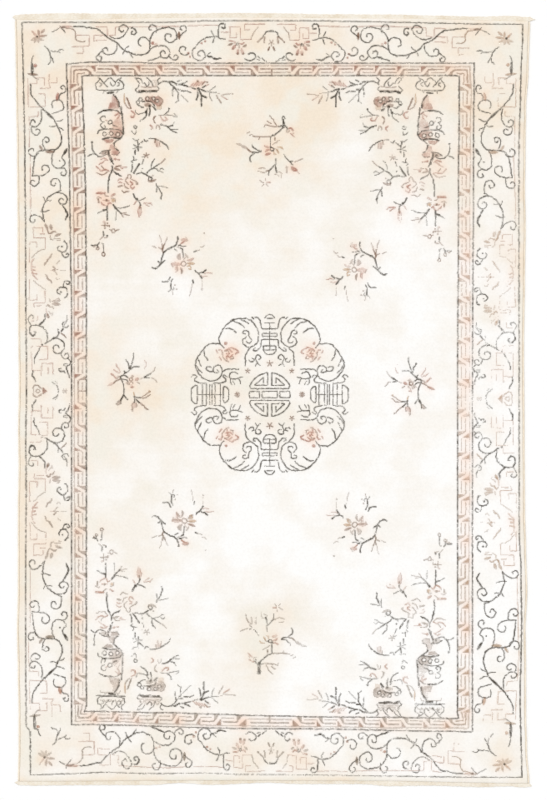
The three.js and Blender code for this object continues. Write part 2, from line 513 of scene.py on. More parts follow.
@dataclass(frozen=True)
class GroundWool:
    """Undyed pile wool: cream, bleached nearly white in places, apricot where old dye has run."""

    cream: Colour = linear(244, 238, 229)
    white: Colour = linear(250, 249, 247)
    apricot: Colour = linear(241, 227, 208)
    sage: Colour = linear(239, 235, 224)
    pink: Colour = linear(246, 198, 167)
    roughness: float = 0.95
    sheen: float = 0.15

    def colour(self, shader: Shader) -> bpy.types.NodeSocket:
        """Adds the ground colour, the same on every piece of the pile.

        Args:
            shader: Material being built.

        Returns:
            The colour.
        """
        warmth = shader.attribute("warmth")
        patches = shader.level(shader.noise(5.0, 4.0), (0.4, -0.18), (0.6, 0.18))
        streaks = shader.level(shader.noise(3.0, 3.0, (0.5, 14.0, 1.0)), (0.3, -0.05), (0.7, 0.05))
        warmth = shader.sum(shader.sum(warmth, patches), streaks)
        pale = shader.mix(shader.level(warmth, (0.0, 0.0), (0.5, 1.0)), self.white, self.cream)
        warm = shader.mix(shader.level(warmth, (0.5, 0.0), (1.0, 1.0)), pale, self.apricot)
        greener = shader.sum(
            shader.level(shader.noise(7.0, 3.0), (0.46, 0.0), (0.62, 0.8)),
            shader.level(warmth, (0.3, 0.0), (0.7, 1.0)),
            "MULTIPLY",
        )
        warm = shader.mix(greener, warm, self.sage)
        bled = shader.mix(shader.attribute("bleed"), warm, self.pink)
        mottle = shader.level(shader.noise(120.0, 3.0), (0.25, 0.95), (0.6, 1.0))
        return shader.shade(bled, mottle)

    def knots(self, shader: Shader) -> None:
        """Adds the relief of the knots."""
        rows = shader.cells(380.0, (1.0, 0.85, 1.0))
        tufts = shader.noise(900.0, 2.0)
        shader.bump(shader.sum(rows, tufts), 0.0006, 0.35)

    def ground(self) -> bpy.types.Material:
        """Returns the plain pile's material."""
        shader = Shader("pile_wool")
        self.knots(shader)
        return shader.finish(self.colour(shader), self.roughness, self.sheen)

    def dyed(self) -> bpy.types.Material:
        """Returns the design's material: the ground's own, mixed with each knot's dye."""
        shader = Shader("dyed_wool")
        self.knots(shader)
        fibre = shader.level(shader.noise(500.0, 2.0), (0.3, 0.86), (0.65, 1.0))
        dye = shader.shade(shader.attribute("dye", "Color"), fibre)
        colour = shader.mix(shader.attribute("dye", "Alpha"), self.colour(shader), dye)
        return shader.finish(colour, self.roughness, self.sheen)


@dataclass(frozen=True)
class Yarn:
    """Plain yarn of the edges, with darker threads in it."""

    name: str
    light: Colour
    dark: Colour
    thread: Sequence[float]
    roughness: float = 0.92
    sheen: float = 0.1

    def material(self) -> bpy.types.Material:
        """Returns the yarn's material."""
        shader = Shader(self.name)
        threads = shader.noise(420.0, 3.0, self.thread)
        blotches = shader.noise(14.0, 3.0)
        share = shader.sum(threads, blotches, "MULTIPLY")
        colour = shader.mix(shader.level(share, (0.16, 0.0), (0.36, 1.0)), self.light, self.dark)
        shader.bump(threads, 0.0004, 0.4)
        return shader.finish(colour, self.roughness, self.sheen)


@dataclass(frozen=True)
class Guides:
    """Lines that all four quarters share, on the chart: for each side, where each line lies.

    Each side's lines run from the rug's edge inwards: edge, guard line, outer and inner line of the fret
    band, and the mirror axis. Each is a table against the place along that side, set from measured places
    of the photograph's lines.
    """

    left: Sequence[Table] = (
        ((20, 15), (150, 17), (300, 18), (480, 18.5), (640, 17), (780, 18)),
        (
            (23, 22.2), (90, 23.7), (145, 25), (240, 25.7), (390, 26.6), (440, 26), (480, 26.3),
            (600, 25.7), (770, 26.5),
        ),
        ((65, 66.5), (95, 67.7), (170, 69.7), (250, 70.5), (300, 71.7), (724, 71.7)),
        ((76, 82.1), (140, 84.4), (200, 85.8), (300, 86.4), (712, 86.4)),
        ((0, 271.6), (800, 271.6)),
    )
    right: Sequence[Table] = (
        ((24, 530), (110, 526), (230, 525), (430, 524), (590, 527), (780, 529.5)),
        (
            (23, 522.5), (90, 520.5), (150, 518.7), (520, 519), (560, 520.8), (610, 521.4), (680, 520),
            (775, 522),
        ),
        ((65, 474), (160, 473.3), (390, 472.2), (730, 472.2)),
        ((76, 459.2), (200, 458.2), (390, 457.4), (716, 457.4)),
        ((0, 271.6), (800, 271.6)),
    )
    top: Sequence[Table] = (
        ((14, 15), (250, 14), (530, 17)),
        ((22, 22.6), (165, 22.6), (205, 21), (300, 21), (520, 24.5)),
        ((66, 64.3), (90, 62.3), (125, 62.3), (160, 63.4), (470, 63.4)),
        ((82, 75.7), (460, 75.7)),
        ((0, 391), (547, 391)),
    )
    bottom: Sequence[Table] = (
        ((14, 784), (530, 785)),
        ((26, 774.5), (60, 773.6), (100, 772), (150, 773.2), (190, 772.7), (250, 774.2), (520, 777)),
        ((71, 724.3), (293, 728.6), (472, 731.3)),
        ((86, 711.2), (173, 712.4), (225, 713.8), (277, 715.7), (303, 716.6), (381, 717), (457, 718.2)),
        ((0, 391), (547, 391)),
    )


GUIDES = Guides()
MIRRORED = (543.2, 782.0)
STILL: Table = ((0, 0), (800, 0))


@dataclass(frozen=True)
class Drift:
    """How far one quarter lies from the mirrored drawing, part by part, in squares.

    The tables hold offsets between the render and the photograph that a matching script measured. Tables
    for the short sides go by column and tables for the long sides by row. A pair of tables is the drift
    The tables hold measured offsets between the render and the photograph. Tables for the short sides go
    by column and tables for the long sides by row. A pair of tables is the drift across the rug and the drift
    down it.
    """

    short_border: tuple[Table, Table] = (STILL, STILL)
    long_border: tuple[Table, Table] = (STILL, STILL)
    short_band: Table = STILL
    long_band: Table = STILL
    field: tuple[Table, Table] = (STILL, STILL)

    def at(
        self, drawn: tuple[np.ndarray, np.ndarray], carried: tuple[np.ndarray, np.ndarray]
    ) -> tuple[np.ndarray, np.ndarray]:
        """Works out the drift of points.

        Args:
            drawn: Columns and rows of the points in the upper left quarter's drawing.
            carried: Columns and rows that they are carried to.

        Returns:
            How far each point drifts across the rug and down it.
        """
        column, row = drawn
        top, left = GUIDES.top, GUIDES.left
        from_top = self._past(row, top, column)
        from_left = self._past(column, left, row)
        zone = np.minimum(from_top, from_left)
        short, long = (zone == 0) & (from_top == 0), (zone == 0) & (from_left == 0)
        off_short = short * np.clip((row - read_table(top[1], column) - 1) / 4, 0, 1)
        off_long = long * np.clip((column - read_table(left[1], row) - 1) / 4, 0, 1)
        band_short, band_long = (zone == 1) & (from_top == 1), (zone == 1) & (from_left == 1)
        inner = zone == 2
        across = short * read_table(self.short_border[0], carried[0])
        across += off_long * read_table(self.long_border[0], carried[1])
        across += band_short * read_table(self.short_band, carried[0])
        across += inner * read_table(self.field[0], carried[0])
        down = long * read_table(self.long_border[1], carried[1])
        down += off_short * read_table(self.short_border[1], carried[0])
        down += band_long * read_table(self.long_band, carried[1])
        down += inner * read_table(self.field[1], carried[1])
        return across, down

    @staticmethod
    def _past(value: np.ndarray, lines: Sequence[Table], along: np.ndarray) -> np.ndarray:
        """Returns 0 for points outside the fret band, 1 for points on it and 2 for points inside it."""
        past_outer = value > read_table(lines[2], along) - 1
        past_inner = value > read_table(lines[3], along) + 1
        return past_outer.astype(int) + past_inner


@dataclass(frozen=True)
class Quarter:
    """One quarter of the rug, and how the upper left quarter's drawing lies in it."""

    name: str
    right: bool
    lower: bool
    drift: Drift
    fade: float = 1.0

    def carry(self, points: np.ndarray) -> np.ndarray:
        """Carries points of the upper left quarter's drawing into this quarter.

        Args:
            points: Rows of column and row on the chart.

        Returns:
            The points in this quarter.
        """
        column, row = points[:, 0], points[:, 1]
        beside = MIRRORED[0] - column if self.right else column
        below = MIRRORED[1] - row if self.lower else row
        left, top = GUIDES.left, GUIDES.top
        across = self._between(column, (row, below), left, GUIDES.right if self.right else left)
        down = self._between(row, (column, beside), top, GUIDES.bottom if self.lower else top)
        drift = self.drift.at((column, row), (across, down))
        return np.stack([across + drift[0], down + drift[1]], -1)

    @staticmethod
    def _between(
        value: np.ndarray, along: tuple[np.ndarray, np.ndarray], old: Sequence[Table], new: Sequence[Table]
    ) -> np.ndarray:
        """Moves places between one side's lines to between another's.

        Args:
            value: Places measured across the side.
            along: Places measured along it, on the old side and on the new one.
            old: Lines of the side that they are drawn for.
            new: Lines of the side that they go to.

        Returns:
            The places across the new side.
        """
        source = np.stack([read_table(line, along[0]) for line in old])
        target = np.stack([read_table(line, along[1]) for line in new])
        turned = np.sign(source[-1] - source[0]) * np.sign(target[-1] - target[0])
        moved = target[-1] + (value - source[-1]) * turned
        for k in range(len(old) - 1):
            inside = (value >= source[k]) & (value <= source[k + 1])
            share = (value - source[k]) / (source[k + 1] - source[k])
            moved = np.where(inside, target[k] + (target[k + 1] - target[k]) * share, moved)
        return moved


@dataclass(frozen=True)
class Place:
    """Where a free motif lies: mirrored about a centre, or not, and moved."""

    mirror_across: bool = False
    mirror_along: bool = False
    move: Point = (0.0, 0.0)
    centre: Point = (270.5, 391.5)
    fade: float = 1.0

    def carry(self, points: np.ndarray) -> np.ndarray:
        """Carries the motif's points to this place."""
        signs = np.array([-1.0 if self.mirror_across else 1.0, -1.0 if self.mirror_along else 1.0])
        return np.asarray(self.centre) + (points - np.asarray(self.centre)) * signs + np.asarray(self.move)


RIGHT_BORDER = (
    (
        (150, 0), (200, 2), (240, 1), (270, 0), (340, -1), (390, 0), (450, -1), (500, 1), (580, 2),
        (650, 3), (720, 0),
    ),
    (
        (140, 0), (180, 2), (200, 4), (220, 7), (330, 7), (365, 6), (400, 8), (480, 8), (520, 6), (560, 5),
        (580, 4), (620, 6), (660, 7), (680, 5), (740, 3), (770, 0),
    ),
)
RIGHT_BAND = (
    (66, 0), (90, 2), (136, 4), (182, 2.5), (228, 4), (297, 6), (366, 5), (391, 6.3), (412, 7.7), (458, 7),
    (504, 5), (550, 3), (573, 3), (619, 6), (665, 6.5), (690, 6), (705, 3), (716, 0),
)
UPPER_LEFT = Drift(
    short_band=((120, 0), (159, -3), (205, -2), (228, 0)),
    long_band=((66, 0), (90, 2), (136, 3), (170, 1.5), (205, 0)),
)
UPPER_RIGHT = Drift(
    short_border=(
        ((266, 0), (284, -1), (302, -3), (320, -5), (338, -6), (356, -5), (392, -4), (410, -2), (428, 0)),
        ((266, 0), (320, 1), (356, 1), (380, 0), (482, 1)),
    ),
    long_border=RIGHT_BORDER,
    short_band=(
        (271.6, 0), (289, 7), (297, 7), (312, 4), (343, 1), (366, -1), (389, -3), (412, -3), (435, -1),
        (458, 0),
    ),
    long_band=RIGHT_BAND,
    field=(
        ((280, 0), (300, -2), (316, -3), (338, -5.5), (370, -6), (404, -4.3), (426, -1.3)),
        ((76, 0), (112, 0.7), (134, 1.2), (156, 2.3), (178, 3), (200, 4.2), (222, 5.5), (260, 6)),
    ),
)
LOWER_LEFT = Drift(
    short_border=(
        (
            (50, 4), (68, 2), (86, 2), (104, -1), (140, 0), (158, 1), (176, 3), (194, 4), (212, 4),
            (230, 3), (250, 0),
        ),
        ((50, 0), (68, -3), (86, -3), (104, -2), (140, -2), (158, -1), (212, -2), (248, 1), (266, 0)),
    ),
    long_border=(
        ((520, 0), (600, -1), (660, -2), (700, -1)),
        (
            (391, 0), (400, -1), (480, -2), (540, -3), (560, -2), (580, 1), (600, 2), (640, 3), (680, 1),
            (700, 0),
            (720, 4), (740, 0),
        ),
    ),
    short_band=(
        (72, 0), (90, -2), (113, -3), (136, -5), (159, -8), (182, -11), (205, -12), (228, -14.5),
        (253, -14.6),
        (271.6, -2),
    ),
    long_band=(
        (391, 0), (435, 2), (458, 0), (504, -1), (527, -2), (550, 1), (596, 2), (642, -1), (688, -2),
        (700, 0),
    ),
    field=(
        ((86, 2.5), (92, 1), (98, -1.8), (126, -2.2), (148, -0.6), (170, 0.5), (200, 1.2)),
        ((520, 0), (540, -1), (550, -2), (572, -1.4), (594, 0), (616, 0.7), (660, 1), (682, -0.2)),
    ),
)
LOWER_RIGHT = Drift(
    short_border=(
        (
            (266, 0), (284, -2), (302, -6), (356, -6), (374, -4), (392, -4), (410, -1), (428, -1), (464, -3),
            (482, -2), (520, 0),
        ),
        ((266, 0), (320, 1), (356, 1), (374, -1), (428, -1), (446, 1), (482, 2)),
    ),
    long_border=RIGHT_BORDER,
    short_band=(
        (271.6, -2), (289.6, 9.7), (297, 10), (320, 7.7), (343, 6), (366, 5), (389, 3), (412, 2), (458, 1),
        (472, 0),
    ),
    long_band=RIGHT_BAND,
    field=(
        ((300, -2), (316, -3), (338, -5), (382, -5.3), (404, -3.8), (426, -0.5)),
        ((480, 3), (550, 1.6), (572, 2.3), (600, 2.6), (660, 3), (682, 2), (704, 1.6)),
    ),
)
QUARTERS = (
    Quarter("upper_left", right=False, lower=False, drift=UPPER_LEFT),
    Quarter("upper_right", right=True, lower=False, drift=UPPER_RIGHT, fade=0.84),
    Quarter("lower_left", right=False, lower=True, drift=LOWER_LEFT, fade=0.78),
    Quarter("lower_right", right=True, lower=True, drift=LOWER_RIGHT, fade=0.72),
)


@dataclass
class Chart:
    """Squared chart of the design: how much of each dye every knot takes."""

    knots: float = 1.2
    first: Point = (10.0, 10.0)
    last: Point = (538.0, 792.0)
    cover: dict[Dye, np.ndarray] = field(default_factory=dict)

    def __post_init__(self) -> None:
        """Makes an empty chart."""
        self.columns = int((self.last[0] - self.first[0]) * self.knots)
        self.rows = int((self.last[1] - self.first[1]) * self.knots)
        for dye in Dye:
            self.cover[dye] = np.zeros((self.rows, self.columns), np.float32)

    def stroke(self, points: np.ndarray, widths: np.ndarray, dye: Dye, strength: float) -> None:
        """Draws a line that may swell and thin.

        Args:
            points: Rows of column and row on the chart.
            widths: Width of the line at each, in squares.
            dye: Dye of the knots.
            strength: How strongly they are dyed.
        """
        place = (points - np.asarray(self.first)) * self.knots - 0.5
        half = widths * self.knots / 2
        canvas = self.cover[dye]
        for (x0, y0), (x1, y1), h0, h1 in zip(place[:-1], place[1:], half[:-1], half[1:]):
            reach = max(h0, h1) + 1
            left, right = int(min(x0, x1) - reach), int(max(x0, x1) + reach) + 2
            top, bottom = int(min(y0, y1) - reach), int(max(y0, y1) + reach) + 2
            left, top = max(left, 0), max(top, 0)
            if left >= min(right, self.columns) or top >= min(bottom, self.rows):
                continue
            window = canvas[top:bottom, left:right]
            y, x = np.mgrid[top : top + window.shape[0], left : left + window.shape[1]]
            dx, dy = x1 - x0, y1 - y0
            length = max(dx * dx + dy * dy, 1e-9)
            t = np.clip(((x - x0) * dx + (y - y0) * dy) / length, 0, 1)
            gap = np.hypot(x - x0 - t * dx, y - y0 - t * dy)
            amount = np.clip(h0 + (h1 - h0) * t - gap + 0.5, 0, 1) * strength
            np.maximum(window, amount, out=window)

    def clear(self, centre: np.ndarray, radius: float) -> None:
        """Takes most of the dye out of a small disc."""
        y, x = np.mgrid[0 : self.rows, 0 : self.columns]
        gap = np.hypot(x / self.knots + self.first[0] - centre[0], y / self.knots + self.first[1] - centre[1])
        left = np.clip(gap - radius + 0.8, 0.15, 1)
        for dye in (Dye.BROWN, Dye.CLAY, Dye.ROSE, Dye.TAN):
            self.cover[dye] *= left

    def fill(self, corners: np.ndarray, dye: Dye, strength: float) -> None:
        """Fills a shape of any outline.

        Args:
            corners: Rows of column and row on the chart, in order round it.
            dye: Dye of the knots.
            strength: How strongly they are dyed.
        """
        place = (corners - np.asarray(self.first)) * self.knots - 0.5
        left, top = np.maximum(np.floor(place.min(0)).astype(int), 0)
        right, bottom = np.ceil(place.max(0)).astype(int) + 1
        window = self.cover[dye][top:bottom, left:right]
        if not window.size:
            return
        amount = np.zeros(window.shape, np.float32)
        for shift_x, shift_y in ((-0.25, -0.25), (0.25, -0.25), (-0.25, 0.25), (0.25, 0.25)):
            y, x = np.mgrid[top : top + window.shape[0], left : left + window.shape[1]]
            inside = np.zeros(window.shape, bool)
            for (x0, y0), (x1, y1) in zip(place, np.roll(place, -1, 0)):
                if y0 == y1:
                    continue
                crosses = ((y + shift_y) >= min(y0, y1)) & ((y + shift_y) < max(y0, y1))
                inside ^= crosses & (x + shift_x < x0 + (y + shift_y - y0) * (x1 - x0) / (y1 - y0))
            amount += inside * 0.25 * strength
        np.maximum(window, amount, out=window)


@dataclass(frozen=True)
class Pen:
    """Draws motifs on the chart, in one quarter or in several at once."""

    chart: Chart
    quarters: Sequence[Quarter | Place] = QUARTERS
    dye: Dye = Dye.CHARCOAL
    width: float = 1.4
    weight: float = 0.74
    step: float = 1.7
    shake: float = 0.24
    fades: bool = False
    chance: np.random.Generator = field(default_factory=lambda: np.random.default_rng(17))

    def dyed(self, dye: Dye) -> "Pen":
        """Returns this pen with another dye."""
        return replace(self, dye=dye)

    @property
    def brown(self) -> "Pen":
        """This pen with brown dye."""
        return self.dyed(Dye.BROWN)

    @property
    def rose(self) -> "Pen":
        """This pen with rose dye."""
        return self.dyed(Dye.ROSE)

    @property
    def tan(self) -> "Pen":
        """This pen with tan dye."""
        return self.dyed(Dye.TAN)

    @property
    def clay(self) -> "Pen":
        """This pen with the vases' clay dye."""
        return self.dyed(Dye.CLAY)

    @property
    def thin(self) -> "Pen":
        """This pen with a thinner line."""
        return replace(self, width=1.15)

    def _faded(self, strength: float, place: Quarter | Place) -> float:
        """Returns a strength as it is left in a quarter, where charcoal has kept its colour best."""
        if not self.fades:
            return strength
        return strength * (0.5 + 0.5 * place.fade if self.dye is Dye.CHARCOAL else place.fade)

    def _draw(self, points: np.ndarray, width: float, strength: float, taper: float) -> None:
        """Draws a line in each quarter, thinner towards both ends by a taper from 0 to 1."""
        share = np.linspace(-1, 1, len(points))
        widths = self.weight * (width or self.width) * (1 - taper * np.abs(share) ** 3)
        for quarter in self.quarters:
            knotted = self._knotted(quarter.carry(points), widths)
            self.chart.stroke(*knotted, self.dye, self._faded(strength, quarter))

    def _knotted(self, points: np.ndarray, widths: np.ndarray) -> tuple[np.ndarray, np.ndarray]:
        """Makes a line as uneven as knots make it.

        Args:
            points: Rows of column and row on the chart.
            widths: Width of the line at each.

        Returns:
            The uneven line's points and widths.
        """
        along = np.concatenate([[0], np.cumsum(np.hypot(*np.diff(points, axis=0).T))])
        count = max(2, int(along[-1] / self.step) + 1)
        at = np.linspace(0, along[-1], count)
        made = np.stack([np.interp(at, along, points[:, k]) for k in (0, 1)], -1)
        made[1:-1] += self.chance.normal(0, self.shake, (count - 2, 2))
        return made, np.interp(at, along, widths) * self.chance.uniform(0.62, 1.22, count)

    @staticmethod
    def _smooth(points: np.ndarray, steps: int = 6) -> np.ndarray:
        """Returns a smooth curve through a few points."""
        if len(points) < 3:
            return np.linspace(points[0], points[-1], 2)
        before = np.vstack([2 * points[0] - points[1], points[:-1]])
        after = np.vstack([points[1:], 2 * points[-1] - points[-2]])
        slope = (after - before) / 2
        made = []
        for k in range(len(points) - 1):
            for t in np.arange(steps) / steps:
                a = (1 + 2 * t) * (1 - t) ** 2
                b = t * (1 - t) ** 2
                c = t * t * (3 - 2 * t)
                d = t * t * (t - 1)
                made.append(a * points[k] + b * slope[k] + c * points[k + 1] + d * slope[k + 1])
        made.append(points[-1])
        return np.asarray(made)

    def vine(self, *points: Point, width: float = 0, strength: float = 1, taper: float = 0.3) -> None:
        """Draws a smooth stem through a few points."""
        self._draw(self._smooth(np.asarray(points, float)), width, strength, taper)

    def vines(self, *stems: Sequence[Point], width: float = 0, strength: float = 1) -> None:
        """Draws several smooth stems alike."""
        for points in stems:
            self.vine(*points, width=width, strength=strength)

    def line(self, *points: Point, width: float = 0, strength: float = 1, taper: float = 0) -> None:
        """Draws straight lines from point to point."""
        made = [np.asarray(points[0], float)[None]]
        for a, b in zip(points[:-1], points[1:]):
            made.append(np.linspace(a, b, 5)[1:])
        steady = replace(self, shake=0.5 * self.shake)
        steady._draw(np.concatenate(made), width, strength, taper)

    def curl(
        self,
        start: Point,
        centre: Point,
        turns: float,
        inner: float = 1.4,
        width: float = 0,
        strength: float = 1,
    ) -> None:
        """Draws a scroll that winds in round its centre.

        Args:
            start: Where it begins.
            centre: What it winds round.
            turns: Turns to its end, clockwise if above 0.
            inner: Radius at its end, in squares.
            width: Width of the line, in squares.
            strength: How strongly its knots are dyed.
        """
        across, down = start[0] - centre[0], start[1] - centre[1]
        count = max(6, int(abs(turns) * 22))
        t = np.linspace(0, 1, count)
        angle = math.atan2(down, across) + t * turns * 2 * math.pi
        radius = inner + (math.hypot(across, down) - inner) * (1 - t) ** 1.15
        points = np.stack([centre[0] + radius * np.cos(angle), centre[1] + radius * np.sin(angle)], -1)
        self._draw(points, width, strength, 0.1)

    def leaf(self, start: Point, end: Point, width: float, bend: float = 0, strength: float = 1) -> None:
        """Draws a leaf or petal, wide in the middle and pointed at both ends, bent aside by a share."""
        a, b = np.asarray(start, float), np.asarray(end, float)
        t = np.linspace(0, 1, 9)
        side = np.array([a[1] - b[1], b[0] - a[0]]) * bend
        points = a + (b - a) * t[:, None] + side * np.sin(np.pi * t)[:, None]
        widths = 0.5 + (width - 0.5) * np.sin(np.pi * t) ** 0.8
        for quarter in self.quarters:
            self.chart.stroke(quarter.carry(points), widths, self.dye, self._faded(strength, quarter))

    def dot(self, x: float, y: float, radius: float, strength: float = 1) -> None:
        """Draws a round spot."""
        self._draw(np.array([[x - 0.1, y], [x + 0.1, y]]), 2 * radius, strength, 0)

    def eye(self, x: float, y: float, radius: float) -> None:
        """Draws a ring with undyed wool in it."""
        for quarter in self.quarters:
            self.chart.clear(quarter.carry(np.array([[x, y]], float))[0], radius)
        self.ring(x, y, radius)

    def ring(self, x: float, y: float, radius: float, strength: float = 1) -> None:
        """Draws a ring."""
        angle = np.linspace(0, 2 * math.pi, 17)
        points = np.stack([x + radius * np.cos(angle), y + radius * np.sin(angle)], -1)
        self._draw(points, 1.1, strength, 0)

    def fill(self, *corners: Point, strength: float = 1) -> None:
        """Fills a shape given by its corners."""
        for quarter in self.quarters:
            made = quarter.carry(np.asarray(corners, float))
            self.chart.fill(made, self.dye, self._faded(strength, quarter))

    def star(self, x: float, y: float, radius: float, arms: int = 5, strength: float = 0.85) -> None:
        """Draws a small blossom of a few thin arms."""
        for k in range(arms):
            angle = (k - 0.25 * arms) * 2 * math.pi / arms
            tip = (x + radius * math.cos(angle), y + radius * math.sin(angle))
            self.thin.line((x, y), tip, strength=strength)


@dataclass(frozen=True)
class FretBand:
    """Key-fret band round the field: a ribbon that turns back on itself, unit after unit."""

    unit_across: float = 23.2
    unit_along: float = 20.8
    depth: float = 12.3
    swell_along: float = 1.22

    def draw(self, pen: Pen) -> None:
        """Draws the band's four sides in the four quarters."""
        for k in range(9):
            self._unit(pen, 72.3 + self.unit_across * k, self.unit_across, along=False, first=k == 0)
        for k in range(-1, 15):
            self._unit(pen, 391.0 - self.unit_along * (k + 0.82), self.unit_along, along=True)
        self._corner(pen)
        self._lines(pen)

    def _unit(self, pen: Pen, start: float, period: float, along: bool, first: bool = False) -> None:
        """Draws one unit: two bars, a thin line and two wedges with a pale ribbon between them.

        Args:
            pen: Pen to draw with.
            start: Where the unit starts, along the side.
            period: Length of the unit.
            along: True on the long side, where units run up towards the corner.
            first: True for the unit at the corner, which has wedges only.
        """
        scale = period / 23.2
        middle = 391.0 if along else 271.6

        def at(u: float, v: float) -> Point:
            """Returns a place in the unit, at most at the mirror axis, as a place on the chart."""
            place = start + period - u * scale if along else start + u * scale
            place = min(place, middle)
            inner = float(read_table((GUIDES.left if along else GUIDES.top)[3], place))
            across = inner - (self.depth - v) * (self.swell_along if along else 1.0)
            return (across, place) if along else (place, across)

        pen.brown.fill(at(17.5, 2.4), at(23.3, 2.4), at(23.3, 9.2), strength=0.42)
        pen.brown.fill(at(16.3, 6.6), at(21.2, 12), at(16.3, 12), strength=0.56)
        pen.rose.fill(at(18.5, 2.6), at(23.1, 2.6), at(23.1, 8), strength=0.72)
        if first:
            return
        pen.brown.line(at(2.5, 5.7), at(16, 5.7), at(20.5, 12), width=1.8, strength=0.66)
        pen.brown.line(at(1, 9.2), at(13.5, 9.2), strength=0.5)
        pen.brown.line(at(0, 2.4), at(23.2, 2.4), width=1.9, strength=0.4)

    def _corner(self, pen: Pen) -> None:
        """Draws the three bent lines that turn the ribbon round the corner."""
        pen.brown.line((92, 66.2), (71, 66.8), (70.8, 84), width=1.9, strength=0.42)
        pen.brown.line(
            (90.5, 72.8), (88, 70.6), (86, 69.6), (78, 69.7), (74.1, 70.6), (73.9, 81), width=1.9,
            strength=0.72,
        )
        pen.brown.line(
            (84.6, 73), (80.5, 73.5), (77.3, 73.2), (77.4, 80), (78.5, 83.2), width=1.6, strength=0.6,
        )

    def _lines(self, pen: Pen) -> None:
        """Draws the band's two edge lines and its corner."""
        for lines, along in ((GUIDES.top, False), (GUIDES.left, True)):
            for k, other in ((2, 2), (3, 3)):
                begin = (66.6, 82.3)[k - 2] if not along else (64.3, 75.7)[other - 2]
                stop = 271.6 if not along else 391.0
                places = np.linspace(begin, stop, 14)
                values = read_table(lines[k], places)
                points = [(v, p) if along else (p, v) for p, v in zip(places, values)]
                pen.line(*points, width=1.9 if along else 1.7, strength=0.86 if along else 0.74)


